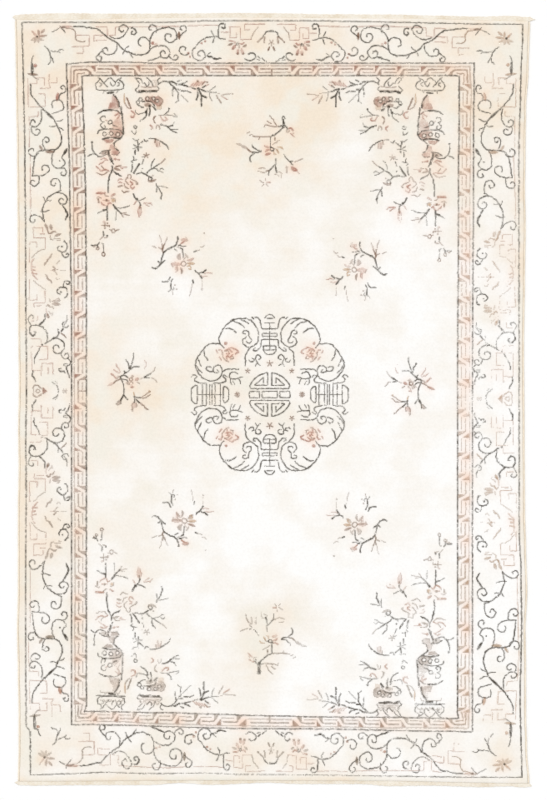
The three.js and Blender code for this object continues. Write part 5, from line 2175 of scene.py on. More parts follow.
        pen.line((136.2, 399.4), (139.4, 402.6), width=2.2)
        brown.line((139.4, 402.6), (144, 405.8), (146, 408.6), (148, 409.4), width=1.6, strength=0.8)
        rose.fill((131.8, 404), (136, 402.4), (136.4, 406.8), (133.8, 408), (131.2, 407.6), strength=0.4)
        brown.vine((133.8, 402.6), (132, 405.4), (132.4, 408.6), (132.6, 411), width=2, strength=0.5)
        brown.dot(132.5, 409.6, 1.6, strength=0.7)
        brown.vine((136.2, 402.8), (136.9, 405), (136, 407.4), strength=0.7)


@dataclass(frozen=True)
class Medallion:
    """Central medallion: a cloud-lobed wreath, four upright fret ornaments and a round fret."""

    def draw(self, chart: Chart) -> None:
        """Draws one quarter and mirrors it to four."""
        middle = (269.7, 394.5)
        places = tuple(
            Place(across, along, centre=middle) for along in (False, True) for across in (False, True)
        )
        pen = Pen(chart, places)
        self._upper_lobe(pen)
        self._side_lobe(pen)
        self._notch(pen)
        self._clouds(pen)
        self._upright_fret(pen)
        self._level_fret(pen)
        self._round_fret(pen)

    def _upper_lobe(self, pen: Pen) -> None:
        """Draws the upper lobe with its stripes and the scroll that it ends in."""
        pen.vine(
            (224, 348), (221, 344.6), (219.2, 340), (220.4, 334), (223.6, 328.6), (227.8, 324), taper=0.1,
        )
        pen.vine((227.8, 324), (231.6, 320.8), (235, 319.4), width=2.1, taper=0.1)
        pen.vine(
            (235, 319.3), (240, 318.6), (246, 318.6), (250.6, 320.4), (254.2, 324), (257.4, 329), width=1.5,
            taper=0.1,
        )
        pen.vine((257.4, 328.8), (258.7, 333), (258.2, 339), (256.6, 343.4), (250.4, 347.4), taper=0.1)
        pen.vines(
            ((232, 320.4), (236.6, 322.3), (240.6, 324), (244.4, 327.8)),
            ((241, 319.6), (244.6, 321), (248.8, 323.8)),
        )
        pen.vine((225.8, 328.8), (229.6, 328.4), (232.8, 329.6), (236, 332.4), width=1.8)
        pen.vines(
            ((245.4, 334), (242.7, 333.3), (243.5, 331), (246, 330.5), (248.4, 331.8), (248.6, 336),
             (250.4, 338), (251.5, 340.4), (250.4, 342.6), (248, 343), (246.4, 341.3)),
            ((246.4, 336.6), (243.6, 338.8), (242.8, 341.8), (243.8, 344.4), (246.4, 346.2),
             (250.8, 347.4)),
        )
        pen.vine((250.4, 347.6), (247.4, 351), (245.5, 355.4), (245.2, 365.6), width=1.5)

    def _side_lobe(self, pen: Pen) -> None:
        """Draws the side lobe with its stripes and its two scrolls."""
        pen.vine(
            (219.4, 343.8), (214, 343.6), (209.6, 343.9), (205.8, 346.6), (203.4, 349), (200.4, 353),
            width=1.6, taper=0.1,
        )
        pen.vine(
            (200.4, 353), (197.4, 357.8), (195.5, 362), (195.5, 367), (199, 373.6), (203, 378), width=1.6,
            taper=0.1,
        )
        pen.vine((203, 378), (208, 380.6), (213, 380.7), (217.8, 379.2), (221, 376), (222, 372), taper=0.1)
        pen.vines(
            ((222, 372), (222, 368.6), (220, 366), (216.8, 365.4), (213.8, 367.2), (213, 370),
             (214.6, 372.4), (217.4, 372.7), (218.8, 371.2), (217, 369.6)),
            ((211.2, 367.4), (209, 366.2), (206.8, 366.8), (206, 369), (208.4, 370.8), (211.8, 371.4),
             (213.4, 370)),
            ((204, 350), (204.6, 355.4), (207.8, 360.4)), ((197.4, 357.4), (199, 361.6), (201.4, 366.4)),
            ((196, 365.4), (198.6, 369.4), (202.2, 372.8)),
            ((222, 372), (225, 370), (229, 369.1), (238.6, 369.2)),
        )

    def _notch(self, pen: Pen) -> None:
        """Draws the faded blossom between the two lobes."""
        rose, brown = pen.rose, pen.brown
        rose.dot(225.8, 343.3, 1.9, strength=0.75)
        rose.vines(
            ((216.2, 350.2), (217.6, 352.8)), ((219, 350), (221.2, 350), (222.2, 352.8)),
            ((226.4, 353.6), (228.8, 354.2), (226.6, 357), (227, 359.2)),
            ((235, 348.8), (238.6, 351.4), (235.4, 354)),
            ((228.4, 348.8), (231.6, 347.4), (234.2, 349)), ((224.8, 350.4), (228.6, 349.4), (231.8, 351.8)),
            ((232.6, 354.4), (230, 357), (226, 356.2)), width=1.9, strength=0.85,
        )
        brown.vines(
            ((222.6, 352), (222.4, 355.8), (225, 359.2), (227.6, 361)),
            ((224.6, 351), (228, 350.8), (228.6, 352.4)),
            ((230.4, 359), (233.4, 358.6), (233, 356.2)), strength=0.62,
        )
        rose.line((219.4, 357), (221.4, 359.8), width=1.7, strength=0.7)
        rose.dot(229, 353.4, 1.4, strength=0.8)
        brown.line((226.4, 361.2), (228.8, 361.6), strength=0.5)

    def _clouds(self, pen: Pen) -> None:
        """Draws the small cloud scrolls and the stars inside the wreath."""
        pen.vine(
            (255.2, 359), (256, 356), (258.2, 354.6), (260.6, 356.2), (260.8, 358.8), (258.4, 359.6),
            width=1.6,
        )
        pen.vine((249, 360), (250.6, 361.9), (253, 361.6), (254.2, 359.4), (252, 358.2))
        pen.thin.vines(
            ((255, 358.8), (256.8, 361), (257.2, 363.2), (260.6, 365.6)), ((257, 363.2), (255.2, 366)),
        )
        pen.vine(
            (237.8, 373.9), (235.6, 372.2), (232.2, 372.2), (229.6, 375), (230.4, 378.2), (236, 378.6),
            (242.4, 377),
        )
        pen.thin.vines(
            ((238, 378.6), (239.6, 381), (240.4, 383.8)), ((230.4, 378.8), (230.2, 382), (231.8, 384.8)),
        )
        pen.thin.line((233, 381.2), (234.8, 384.4), strength=0.8)
        for x, y, radius in ((247.6, 370.8, 2.3), (269.7, 363.4, 3), (237.4, 394.5, 2.4)):
            pen.brown.star(x, y, radius)

    def _upright_fret(self, pen: Pen) -> None:
        """Draws the plain fret ornament at the wreath's upper and lower ends."""
        thin = pen.thin
        pen.line((264.8, 318), (266.8, 315.2), (269.7, 314.4))
        thin.line((266.8, 318.4), (269.7, 318.4))
        thin.line((264.6, 323), (269.7, 323), strength=0.75)
        thin.line((269.7, 323), (269.7, 350), strength=0.9)
        pen.line((252, 317.2), (253.6, 318.8))
        pen.line((255, 317.4), (257.6, 317.3), (260, 320), (261.6, 328.8), (269.7, 328.8))
        thin.line((269.7, 333.4), (262.2, 333.4), (262.3, 336.3), (269.7, 336.3))
        pen.line((269.7, 339.5), (261.5, 339.5), (261.2, 343), (260.4, 347.4), (258, 349.4))
        pen.vine((258.4, 349.4), (255.6, 351), (253.5, 350.4), (253.6, 348.6), (255.4, 348))
        pen.line((269.7, 345.9), (263.4, 346), (263.4, 350.6), (266, 354), (269.7, 354.5))
        thin.line((264, 349.8), (269.7, 349.8))

    def _level_fret(self, pen: Pen) -> None:
        """Draws the plain fret ornament at the wreath's left and right ends."""
        pen.line((191.3, 394.5), (191.4, 388.4), (195.2, 385.4), (197.2, 385.5), (197.3, 394.5))
        for x, strength in ((202.4, 1), (206.4, 1), (209.8, 0.9), (212, 1), (215, 0.9), (220.4, 0.9)):
            pen.thin.line((x, 384.6), (x, 394.5), strength=strength)
        pen.thin.line((197.3, 394.5), (223.4, 394.5), strength=0.7)
        pen.line((223.4, 394.5), (223.6, 386.4), (226.2, 386.8), (228.8, 390), (228.8, 394.5))
        pen.vines(
            ((191.6, 376.8), (194.4, 374.6), (197, 376.4), (194.6, 379), (195.4, 381.4), (199, 383),
             (206.6, 383.4)),
            ((227, 376.8), (224.6, 374.9), (222.9, 376.8), (225.5, 379), (224.4, 381.8), (220, 383.1),
             (213.4, 383.4)),
        )

    def _round_fret(self, pen: Pen) -> None:
        """Draws the round fret in the middle."""
        angles = np.linspace(math.radians(264.5), math.radians(204.5), 14)
        pen.line(*((269.7 + 21.8 * math.cos(a), 394.5 + 21.8 * math.sin(a)) for a in angles))
        pen.line((267.6, 372.9), (267.6, 385.3), (255, 385.3))
        pen.line((263.5, 382.6), (263.5, 377.4), (255, 384.8))
        pen.line((269.7, 388.6), (250.6, 388.6), (249.6, 385.6))
        pen.line((249.4, 394.5), (249.5, 391.3), (259.6, 391.3), (259.6, 394.5))
        pen.line((262, 394.5), (262, 391.3), (269.7, 391.3))


@dataclass(frozen=True)
class DesignField:
    """Turns the finished chart into how each knot looks."""

    chart: Chart
    threshold: float = 0.13
    depth: float = 1.75
    kept: float = 0.80
    uneven: float = 0.30
    knot_noise: float = 0.62
    grain_noise: float = 0.42
    bare_share: float = 0.04
    bare_loss: float = 0.4
    # Where the dye has faded to the right and below, and how softly that begins
    faded_column: Point = (455, 12)
    faded_row: Point = (520, 50)
    right_fade: float = 0.6
    # Set against mean tones measured on the photograph
    worn: Sequence[Patch] = (
        (90, 90, 170, 170, 0.06), (79, 380, 5, 330, -0.12), (500, 400, 100, 100, -0.26),
        (500, 250, 90, 90, -0.14), (125, 665, 60, 90, -0.14), (425, 665, 60, 90, -0.18),
        (420, 150, 60, 90, -0.12), (270, 775, 160, 5, -0.26), (60, 420, 90, 90, -0.12),
        (270, 394, 90, 90, 0.08), (24, 600, 12, 130, -0.16), (480, 90, 90, 90, 0.05),
        (440, 690, 90, 90, 0.04), (500, 620, 70, 70, 0.06), (270, 640, 60, 60, -0.14),
        (466, 330, 5, 230, -0.28), (270, 63, 180, 4, -0.14), (270, 755, 200, 25, -0.18),
    )

    def wear(self) -> np.ndarray:
        """Returns how much dye is left over the rug, from 0 to 1."""
        rows, columns = self.chart.rows, self.chart.columns
        y, x = np.mgrid[0:rows, 0:columns]
        x = x / self.chart.knots + self.chart.first[0]
        y = y / self.chart.knots + self.chart.first[1]
        left = np.full((rows, columns), self.kept)
        add_patches(left, (x, y), self.worn)
        left += (smooth_noise((rows, columns), (48, 32), 5) - 0.5) * self.uneven
        return left

    def rubbed(self) -> np.ndarray:
        """Returns how single knots differ from the wear round them."""
        rows, columns = self.chart.rows, self.chart.columns
        made = (smooth_noise((rows, columns), (rows // 3, columns // 3), 6) - 0.5) * self.knot_noise
        grain = np.random.default_rng(7).random((rows, columns))
        made += (grain - 0.5) * self.grain_noise
        made[grain < self.bare_share] -= self.bare_loss
        return made

    def _after(self, edge: float, soft: float, axis: int) -> np.ndarray:
        """Returns a share that goes from 0 before a place on the chart to 1 after it."""
        places = np.arange((self.chart.rows, self.chart.columns)[axis]) / self.chart.knots
        share = 1 / (1 + np.exp(-(places + self.chart.first[1 - axis] - edge) / soft))
        return np.broadcast_to(
            share[:, None] if axis == 0 else share[None, :], (self.chart.rows, self.chart.columns),
        )

    def knots(self) -> tuple[np.ndarray, np.ndarray]:
        """Works out each knot's dye.

        Returns:
            Red, green, blue and share of dye for every knot, and which knots are in the design.
        """
        wear, rubbed = self.wear(), self.rubbed()
        right = self._after(*self.faded_column, 1)[..., None] * self.right_fade
        low = self._after(*self.faded_row, 0)[..., None]
        colour = np.zeros((*wear.shape, 4), np.float32)
        total = np.zeros(wear.shape, np.float32)
        patches = 0.3 + 0.9 * smooth_noise(wear.shape, (wear.shape[0] // 6, wear.shape[1] // 6), 8)
        patches += 0.3 * np.random.default_rng(9).random(wear.shape)
        for dye in (Dye.TAN, Dye.ROSE, Dye.CLAY, Dye.BROWN, Dye.CHARCOAL):
            left = np.clip(wear + rubbed * (1 if dye is Dye.CHARCOAL else 0.6), 0.05, 1)
            if dye in (Dye.CLAY, Dye.ROSE):
                left = left * patches
            amount = np.clip(self.chart.cover[dye] * left, 0, 1)
            tint = np.asarray(dye.colour) * (1 - low) + np.asarray(dye.faded) * low
            if dye is not Dye.CHARCOAL:
                tint = tint * (1 - right) + np.asarray(Dye.TAN.colour) * right
            under = total * (1 - amount)
            total = amount + under
            share = (amount / np.maximum(total, 1e-6))[..., None]
            colour[..., :3] = tint * share + colour[..., :3] * (1 - share)
        inside = total > self.threshold
        colour[..., 3] = 1 - (1 - total) ** self.depth
        return colour, self._join_corners(inside)

    @staticmethod
    def _join_corners(inside: np.ndarray) -> np.ndarray:
        """Adds knots where two touch only at a corner, so that the design's pieces are closed."""
        inside = inside.copy()
        for _ in range(8):
            a, b = inside[:-1, :-1], inside[:-1, 1:]
            c, d = inside[1:, :-1], inside[1:, 1:]
            falling = a & d & ~b & ~c
            rising = b & c & ~a & ~d
            if not falling.any() and not rising.any():
                break
            inside[:-1, 1:] |= falling
            inside[:-1, :-1] |= rising
        return inside


@dataclass(frozen=True)
class Bleed:
    """Rose dye that has run out of the design into the wool round it."""

    chart: Chart
    reach: int = 4
    gain: float = 1.9
    most: float = 0.8
    darker_share: float = 0.6
    border_share: float = 0.5
    # Left, right, top and bottom side of the field and of the fret band, in squares from the chart's corner
    field_sides: tuple[float, float, float, float] = (78, 447, 68, 700)
    band_sides: tuple[float, float, float, float] = (56, 467, 50, 722)

    def __post_init__(self) -> None:
        """Spreads the rose knots over their surroundings."""
        cover = self.chart.cover
        run = cover[Dye.ROSE] + self.darker_share * cover[Dye.BROWN] + self.darker_share * cover[Dye.CLAY]
        for _ in range(3):
            for axis in (0, 1):
                run = self._blur(run, axis)
        rows, columns = run.shape
        patchy = 0.35 + 1.3 * smooth_noise((rows, columns), (60, 40), 31)
        y, x = np.mgrid[0:rows, 0:columns] / self.chart.knots
        left = (1 - 0.5 / (1 + np.exp(-(y - 450) / 60))) * (1 - 0.35 / (1 + np.exp(-(x - 370) / 40)))
        left[self._outside(x, y, self.field_sides)] = 1.0
        left[self._outside(x, y, self.band_sides)] = self.border_share
        object.__setattr__(self, "run", np.clip(run * self.gain * patchy * left, 0, self.most))

    @staticmethod
    def _outside(x: np.ndarray, y: np.ndarray, sides: tuple[float, float, float, float]) -> np.ndarray:
        """Returns which places lie outside four sides: left, right, top and bottom."""
        left, right, top, bottom = sides
        return (x < left) | (x > right) | (y < top) | (y > bottom)

    def _blur(self, values: np.ndarray, axis: int) -> np.ndarray:
        """Averages values over the reach along one axis."""
        return sum(np.roll(values, step, axis) for step in range(-self.reach, self.reach + 1)) / (
            2 * self.reach + 1
        )

    def at(self, x: np.ndarray, y: np.ndarray) -> np.ndarray:
        """Returns the share of run rose dye at places in metres."""
        column, row = on_chart(x, y)
        chart = self.chart
        i = np.clip(((row - chart.first[1]) * chart.knots).astype(int), 0, chart.rows - 1)
        j = np.clip(((column - chart.first[0]) * chart.knots).astype(int), 0, chart.columns - 1)
        return self.run[i, j]


@dataclass(frozen=True)
class PileTone:
    """How warm the undyed wool is from place to place."""

    warmest: float = 0.72
    cools_across: float = 0.0010
    cools_down: float = 0.00062
    first_square: float = 60
    # Set against grids of mean ground tones measured on the photograph
    patches: Sequence[Patch] = (
        (180, 150, 90, 50, 0.16), (330, 170, 110, 40, 0.22), (90, 215, 40, 50, 0.22),
        (130, 400, 90, 70, 0.12), (150, 700, 60, 30, 0.16), (262, 640, 45, 45, 0.20),
        (35, 540, 25, 70, 0.42), (60, 640, 30, 60, 0.10), (400, 720, 90, 25, 0.20),
        (270, 755, 260, 26, 0.36), (495, 690, 30, 90, 0.20), (497, 235, 40, 130, 0.24),
        (480, 45, 120, 40, 0.40), (270, 38, 160, 26, 0.30), (60, 60, 80, 60, 0.20),
        (20, 560, 7, 260, 0.40), (20, 180, 7, 200, 0.20), (523, 400, 6, 360, 0.55),
        (400, 300, 60, 80, -0.10), (270, 540, 90, 60, -0.14), (455, 115, 90, 60, 0.34),
        (105, 400, 45, 40, 0.20), (500, 755, 30, 20, 0.40), (250, 762, 30, 12, 0.25),
        (125, 42, 45, 20, -0.32), (400, 42, 30, 20, -0.35), (505, 40, 20, 25, 0.35),
        (300, 115, 30, 45, 0.5), (200, 160, 40, 45, 0.3), (350, 165, 30, 40, -0.3),
        (440, 100, 70, 20, 0.22), (505, 110, 15, 30, 0.2), (40, 250, 18, 25, 0.5),
        (150, 300, 70, 30, -0.25), (170, 400, 50, 15, 0.25), (260, 395, 60, 30, 0.25),
        (350, 400, 30, 40, -0.15), (50, 470, 30, 35, -0.25), (45, 605, 20, 20, -0.22),
        (190, 700, 30, 12, 0.25), (505, 720, 14, 40, 0.45), (505, 762, 16, 12, 0.3),
        (38, 762, 12, 10, 0.4), (300, 762, 14, 10, 0.5), (270, 782, 300, 7, 0.5), (527, 400, 7, 400, 0.3),
        (258, 640, 22, 40, 0.45), (285, 615, 25, 20, 0.3), (275, 105, 60, 28, 0.35),
        (250, 150, 30, 20, 0.2), (75, 600, 8, 60, 0.2), (270, 781, 300, 5, 0.4),
    )

    def warmth(self, x: np.ndarray, y: np.ndarray) -> np.ndarray:
        """Returns the warmth at places in metres: 0 is bleached, 0.5 cream and 1 apricot."""
        column, row = on_chart(x, y)
        past_column, past_row = column - self.first_square, row - self.first_square
        value = self.warmest - self.cools_across * past_column - self.cools_down * past_row
        return add_patches(value, (column, row), self.patches)


@dataclass(frozen=True)
class PileCarpet:
    """The knotted pile: one fine closed sheet with softened shoulders."""

    across: int = 236
    along: int = 356

    def build(
        self, tone: PileTone, bleed: Callable[[np.ndarray, np.ndarray], np.ndarray]
    ) -> bpy.types.Object:
        """Builds the pile.

        Args:
            tone: Warmth of the wool.
            bleed: Share of run rose dye at places in metres.

        Returns:
            The pile's piece.
        """
        inner = (SHAPE.cord_width + SHAPE.seam_gap) * MM
        sides = Sides(
            left=lambda t, y: SHAPE.edge(SHAPE.left_side, y) + inner,
            right=lambda t, y: SHAPE.edge(SHAPE.right_side, y) - inner,
            bottom=lambda x: SHAPE.edge(SHAPE.bottom_pile, x),
            top=lambda x: SHAPE.edge(SHAPE.top_pile, x),
        )
        across = np.concatenate([[0.0, 0.0012], np.linspace(0.004, 0.996, self.across), [0.9988, 1.0]])
        along = np.concatenate([[0.0, 0.0008], np.linspace(0.003, 0.997, self.along), [0.9992, 1.0]])
        x, y = sides.grid(across, along)
        z = SHAPE.surface(x, y)
        z[[0, -1], :] -= 0.0012
        z[1:-1, [0, -1]] -= 0.0012
        top = np.stack([x, y, z], -1)
        rim = MeshMaker.rim(np.arange(x.size).reshape(x.shape))
        low = top.reshape(-1, 3)[rim]
        foot = low.copy()
        low[:, 2] = 0.0012
        foot[:, 2] = 0.0003
        foot[:, :2] *= 0.9997
        made = MeshMaker.closed_sheet("pile", top, [low, foot])
        co = np.zeros(len(made.data.vertices) * 3, np.float32)
        made.data.vertices.foreach_get("co", co)
        co = co.reshape(-1, 3)
        MeshMaker.give(made, "warmth", "POINT", tone.warmth(co[:, 0], co[:, 1]))
        MeshMaker.give(made, "bleed", "POINT", bleed(co[:, 0], co[:, 1]))
        MeshMaker.flat_uv(made)
        return made


@dataclass(frozen=True)
class Region:
    """A part of the design that is one piece: chart squares from its first corner to its last."""

    name: str
    first: Point
    last: Point


@dataclass(frozen=True)
class PatternPile:
    """The knots of the design, which stand a little proud of the worn ground."""

    chart: Chart
    stand: float = 0.0005
    regions: Sequence[Region] = (
        Region("border_upper", (0, 0), (547, 62)),
        Region("border_lower", (0, 735), (547, 800)),
        Region("border_left_upper", (0, 62), (66, 391)),
        Region("border_left_lower", (0, 391), (66, 735)),
        Region("border_right_upper", (476, 62), (547, 391)),
        Region("border_right_lower", (476, 391), (547, 735)),
        Region("fret_left", (66, 62), (89, 735)),
        Region("fret_right", (455, 62), (476, 735)),
        Region("field_upper", (89, 62), (455, 235)),
        Region("field_middle", (89, 235), (455, 560)),
        Region("field_lower", (89, 560), (455, 735)),
    )

    def build(
        self,
        tone: PileTone,
        bleed: Callable[[np.ndarray, np.ndarray], np.ndarray],
        colour: np.ndarray,
        inside: np.ndarray,
    ) -> list[bpy.types.Object]:
        """Builds one piece for each region.

        Args:
            tone: Warmth of the wool.
            bleed: Share of run rose dye at places in metres.
            colour: Red, green, blue and share of dye for every knot.
            inside: Which knots are in the design.

        Returns:
            The pieces.
        """
        made = []
        for region in self.regions:
            own = np.zeros_like(inside)
            low = [self._knot(region.first[k] - self.chart.first[k]) for k in (0, 1)]
            high = [self._knot(region.last[k] - self.chart.first[k]) for k in (0, 1)]
            part = (slice(low[1], high[1]), slice(low[0], high[0]))
            own[part] = inside[part]
            if not own.any():
                continue
            piece = self._piece("design_" + region.name, own, colour, tone, bleed)
            LOG.info("%s: %d faces", piece.name, len(piece.data.polygons))
            made.append(piece)
        return made

    def _knot(self, squares: float) -> int:
        """Returns how many whole knots lie in a number of squares."""
        return max(0, int(squares * self.chart.knots))

    def _piece(
        self,
        name: str,
        own: np.ndarray,
        colour: np.ndarray,
        tone: PileTone,
        bleed: Callable[[np.ndarray, np.ndarray], np.ndarray],
    ) -> bpy.types.Object:
        """Builds the closed patches of one region's knots."""
        rows, columns = np.nonzero(own)
        stride = own.shape[1] + 1
        corner = np.stack(
            [
                (rows + 1) * stride + columns,
                (rows + 1) * stride + columns + 1,
                rows * stride + columns + 1,
                rows * stride + columns,
            ],
            -1,
        )
        used, index = np.unique(corner, return_inverse=True)
        top = index.reshape(corner.shape)
        count = len(used)
        x = ((used % stride) / self.chart.knots + self.chart.first[0] - CHART_MIDDLE[0]) * SQUARE
        y = (CHART_MIDDLE[1] - (used // stride) / self.chart.knots - self.chart.first[1]) * SQUARE
        high = np.stack([x, y, SHAPE.surface(x, y) + self.stand], -1)
        low = np.stack([x, y, np.zeros(count)], -1)
        faces = [top, top[:, ::-1] + count]
        owners = [np.arange(len(top)), np.arange(len(top))]
        padded = np.pad(own, 1)
        steps = ((1, 0, 0, 1), (0, 1, 1, 2), (-1, 0, 2, 3), (0, -1, 3, 0))
        for step_row, step_column, a, b in steps:
            open_side = ~padded[rows + 1 + step_row, columns + 1 + step_column]
            edge = top[open_side]
            faces.append(np.stack([edge[:, b], edge[:, a], edge[:, a] + count, edge[:, b] + count], -1))
            owners.append(np.nonzero(open_side)[0])
        made = MeshMaker.build(name, np.concatenate([high, low]), [np.concatenate(faces)])
        owner = np.repeat(np.concatenate(owners), 4)
        MeshMaker.give(made, "dye", "CORNER", colour[rows, columns][owner])
        warmth = np.concatenate([tone.warmth(x, y)] * 2)
        MeshMaker.give(made, "warmth", "POINT", warmth)
        MeshMaker.give(made, "bleed", "POINT", np.concatenate([bleed(x, y)] * 2))
        MeshMaker.flat_uv(made)
        return made


@dataclass(frozen=True)
class SideCord:
    """Overcast cord along one long side: wraps of yarn round the outer warps."""

    name: str
    outer: Table
    outward: int
    pitch: float = 3.2 * MM
    slant: float = 0.9 * MM
    around: int = 8

    def build(self) -> bpy.types.Object:
        """Builds the cord.

        Returns:
            The cord's piece.
        """
        width = SHAPE.cord_width * MM
        height = SHAPE.cord_height * MM
        bottom = float(SHAPE.edge(SHAPE.bottom_pile, self.outward * 0.99)) + 0.001
        top = float(SHAPE.edge(SHAPE.top_pile, self.outward * 0.99)) - 0.001
        wraps = int((top - bottom) / self.pitch)
        swell = np.tile([0.86, 1.0, 1.0], wraps)
        y = bottom + (np.arange(3 * wraps) + 0.5) * self.pitch / 3
        swell *= 1 + 0.05 * (np.repeat(np.random.default_rng(21).random(wraps), 3) - 0.5)
        middle = SHAPE.edge(self.outer, y) - self.outward * width / 2
        angle = np.arange(self.around) * 2 * math.pi / self.around
        across = np.cos(angle)[None, :] * swell[:, None] * width / 2
        up = np.maximum(height / 2 + np.sin(angle)[None, :] * swell[:, None] * height / 2, 0.0)
        along = y[:, None] + self.slant * np.sin(angle)[None, :]
        points = np.stack([middle[:, None] + across, along, up], -1)
        rings = len(y)
        at = np.arange(rings * self.around).reshape(rings, self.around)
        turn = np.roll(at, -1, 1)
        walls = np.stack([at[:-1], turn[:-1], turn[1:], at[1:]], -1).reshape(-1, 4)[:, ::-1]
        ends = [at[0][None, :], at[-1][::-1][None, :]]
        made = MeshMaker.build(self.name, points.reshape(-1, 3), [walls, *ends])
        MeshMaker.flat_uv(made)
        return made


@dataclass(frozen=True)
class Tail:
    """A corner of an end band that sticks out, from the pile to the band's outer edge."""

    shape: Sequence[float]
    reach: float

    def at(self, share: np.ndarray) -> np.ndarray:
        """Returns how far it sticks out, in metres, at shares of the band's depth."""
        places = (0, 0.2, 0.42, 0.6, 0.8, 1)
        return np.interp(share, places, self.shape) * self.reach * MM


@dataclass(frozen=True)
class EndBand:
    """Flat-woven band across one end, with its ribs of weft and a tail at each corner."""

    name: str
    inner: Table
    outer: Table
    left: float
    right: float
    left_tail: Tail
    right_tail: Tail
    upward: int
    across: int = 420
    along: int = 26
    ribs: int = 8

    def build(self) -> bpy.types.Object:
        """Builds the band.

        Returns:
            The band's piece.
        """
        gap = SHAPE.seam_gap * MM * self.upward

        def near(x: np.ndarray) -> np.ndarray:
            """Returns the band's edge along the pile."""
            return SHAPE.edge(self.inner, x) + gap

        def far(x: np.ndarray) -> np.ndarray:
            """Returns the band's outer edge, where single wefts stick out."""
            return SHAPE.edge(self.outer, x) + self.upward * 0.0005 * (np.sin(x * 310) + np.sin(x * 127 + 1))

        def depth(t: np.ndarray) -> np.ndarray:
            """Returns the share of the way from the pile."""
            return t if self.upward > 0 else 1 - t

        sides = Sides(
            left=lambda t, y: self.left * MM - self.left_tail.at(depth(t)),
            right=lambda t, y: self.right * MM + self.right_tail.at(depth(t)),
            bottom=near if self.upward > 0 else far,
            top=far if self.upward > 0 else near,
        )
        t = np.linspace(0, 1, self.along)
        x, y = sides.grid(np.linspace(0, 1, self.across), t)
        share = np.broadcast_to(t[:, None], x.shape)
        rib = np.abs(np.sin(np.pi * share * self.ribs + 0.4 * np.sin(x * 60)))
        warp = np.abs(np.sin(x * math.pi / 0.0096))
        z = SHAPE.band_height * MM * (0.8 + 0.15 * rib + 0.05 * warp)
        z[[0, -1], :] *= 0.8
        z[:, [0, -1]] *= 0.8
        top = np.stack([x, y, z], -1)
        rim = MeshMaker.rim(np.arange(x.size).reshape(x.shape))
        low = top.reshape(-1, 3)[rim]
        low[:, 2] = 0.0
        made = MeshMaker.closed_sheet(self.name, top, [low])
        MeshMaker.flat_uv(made)
        return made


@dataclass(frozen=True)
class Studio:
    """Pale floor, soft light and the camera straight above."""

    floor_size: float = 14.0
    view_height: float = 3.12
    lens: float = 100.0
    sensor: float = 36.0
    light: float = 1.06

    def build(self) -> None:
        """Builds the floor, the light and the camera."""
        self._floor()
        self._light()
        self._camera()
        view = bpy.context.scene.view_settings
        view.view_transform = "Standard"
        view.look = "None"
        view.exposure = 0
        view.gamma = 1

    def _floor(self) -> None:
        """Builds the plain floor."""
        half = self.floor_size / 2
        points = np.array([(-half, -half, 0), (half, -half, 0), (half, half, 0), (-half, half, 0)])
        points[:, 2] = -0.0002
        floor = MeshMaker.build("floor", points, [np.array([[0, 1, 2, 3]])])
        shader = Shader("floor")
        tone = shader.level(shader.noise(1.5, 2.0), (0.0, 0.99), (1.0, 1.0))
        value = shader.mix(tone, (0.93, 0.93, 0.93), (0.94, 0.94, 0.94))
        floor.data.materials.append(shader.finish(value, 0.9, 0.0))

    def _light(self) -> None:
        """Builds even light from all round and a soft lamp above and to one side."""
        world = bpy.data.worlds.new("studio")
        bpy.context.scene.world = world
        world.use_nodes = True
        back = world.node_tree.nodes["Background"]
        back.inputs["Color"].default_value = (1, 1, 1, 1)
        back.inputs["Strength"].default_value = self.light * 0.8
        lamp = bpy.data.lights.new("softbox", "SUN")
        lamp.energy = 0.95
        lamp.angle = math.radians(25)
        made = bpy.data.objects.new("softbox", lamp)
        made.rotation_euler = (math.radians(-38), math.radians(-22), 0)
        bpy.context.scene.collection.objects.link(made)

    def _camera(self) -> None:
        """Places the camera straight above the rug."""
        camera = bpy.data.cameras.new("camera")
        camera.lens = self.lens
        camera.sensor_width = self.sensor
        camera.sensor_fit = "AUTO"
        camera.clip_end = 100
        made = bpy.data.objects.new("camera", camera)
        made.location = (-0.5 * SQUARE, 0.25 * SQUARE, self.view_height * self.lens / self.sensor)
        bpy.context.scene.collection.objects.link(made)
        bpy.context.scene.camera = made


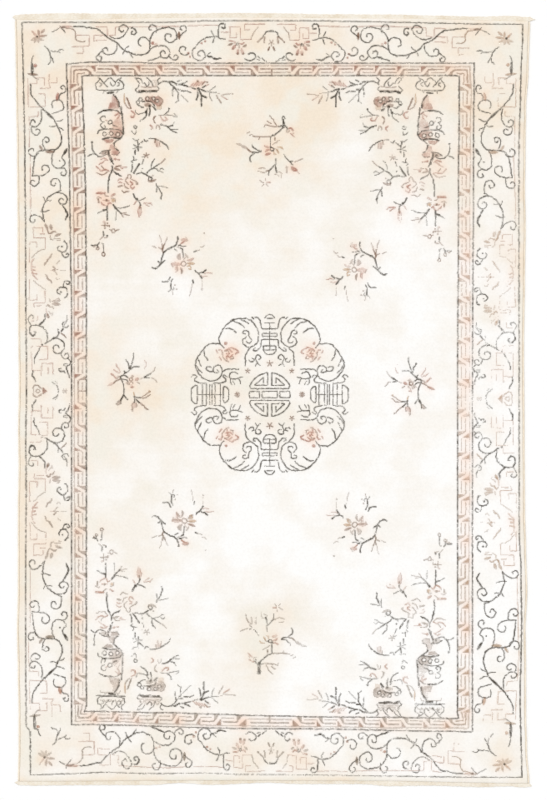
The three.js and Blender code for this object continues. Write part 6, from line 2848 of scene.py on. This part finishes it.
@dataclass(frozen=True)
class Rug:
    """The whole rug: its pile, design, cords and bands."""

    wool: GroundWool = GroundWool()
    cord_yarn: Yarn = Yarn("selvedge_wool", linear(247, 236, 218), linear(231, 216, 194), (1, 0.25, 1))
    band_yarn: Yarn = Yarn("kilim_yarn", linear(243, 237, 225), linear(227, 213, 191), (0.25, 1, 1))

    def build(self) -> None:
        """Builds every piece and attaches it to the frame."""
        chart = Chart()
        pen = Pen(chart)
        FretBand().draw(pen)
        VineBorder().draw(pen)
        VaseGroup().draw(replace(pen, fades=True))
        Sprays().draw(chart)
        Medallion().draw(chart)
        colour, inside = DesignField(chart).knots()
        LOG.info("design: %d knots", int(inside.sum()))
        tone = PileTone()
        bleed = Bleed(chart).at
        pile = PileCarpet().build(tone, bleed)
        design = PatternPile(chart).build(tone, bleed, colour, inside)
        self._dress(pile, self.wool.ground(), "pile_wool", "pile_carpet")
        dyed = self.wool.dyed()
        for piece in design:
            self._dress(piece, dyed, "pile_wool", None)
        edges = self._edges()

    def _edges(self) -> list[bpy.types.Object]:
        """Builds the side cords and end bands.

        Returns:
            Their pieces.
        """
        cord = self.cord_yarn.material()
        band = self.band_yarn.material()
        made = []
        for maker, node in (
            (SideCord("cord_left", SHAPE.left_side, -1), "selvedge_left"),
            (SideCord("cord_right", SHAPE.right_side, 1), "selvedge_right"),
        ):
            piece = maker.build()
            self._dress(piece, cord, "selvedge_wool", node)
            made.append(piece)
        top_tails = (Tail((0, 0.1, 0.55, 1, 0.42, 0), 10), Tail((0, 0.3, 1, 0.6, 0.22, 0), 20))
        bottom_tails = (Tail((0, 0.5, 1, 0.5, 0.2, 0), 13), Tail((0, 0.2, 0.5, 0.8, 1, 0.6), 8))
        for maker, node in (
            (EndBand("band_top", SHAPE.top_pile, SHAPE.top_end, -1010, 1000, *top_tails, 1), "kilim_top"),
            (
                EndBand("band_bottom", SHAPE.bottom_pile, SHAPE.bottom_end, -999, 997, *bottom_tails, -1),
                "kilim_bottom",
            ),
        ):
            piece = maker.build()
            self._dress(piece, band, "kilim_yarn", node)
            made.append(piece)
        return made

    @staticmethod
    def _dress(piece: bpy.types.Object, material: bpy.types.Material, slot: str, node: str | None) -> None:
        """Gives a piece its material and its place in the frame."""
        piece.data.materials.append(material)
        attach(piece, "root")
        if node:
            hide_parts(node)
        LOG.info("%s: %d faces", piece.name, len(piece.data.polygons))


def main() -> None:
    """Builds the rug and its studio."""
    logging.basicConfig(level=logging.INFO, format="%(name)s %(message)s")
    Rug().build()
    Studio().build()


if __name__ == "__main__":
    main()
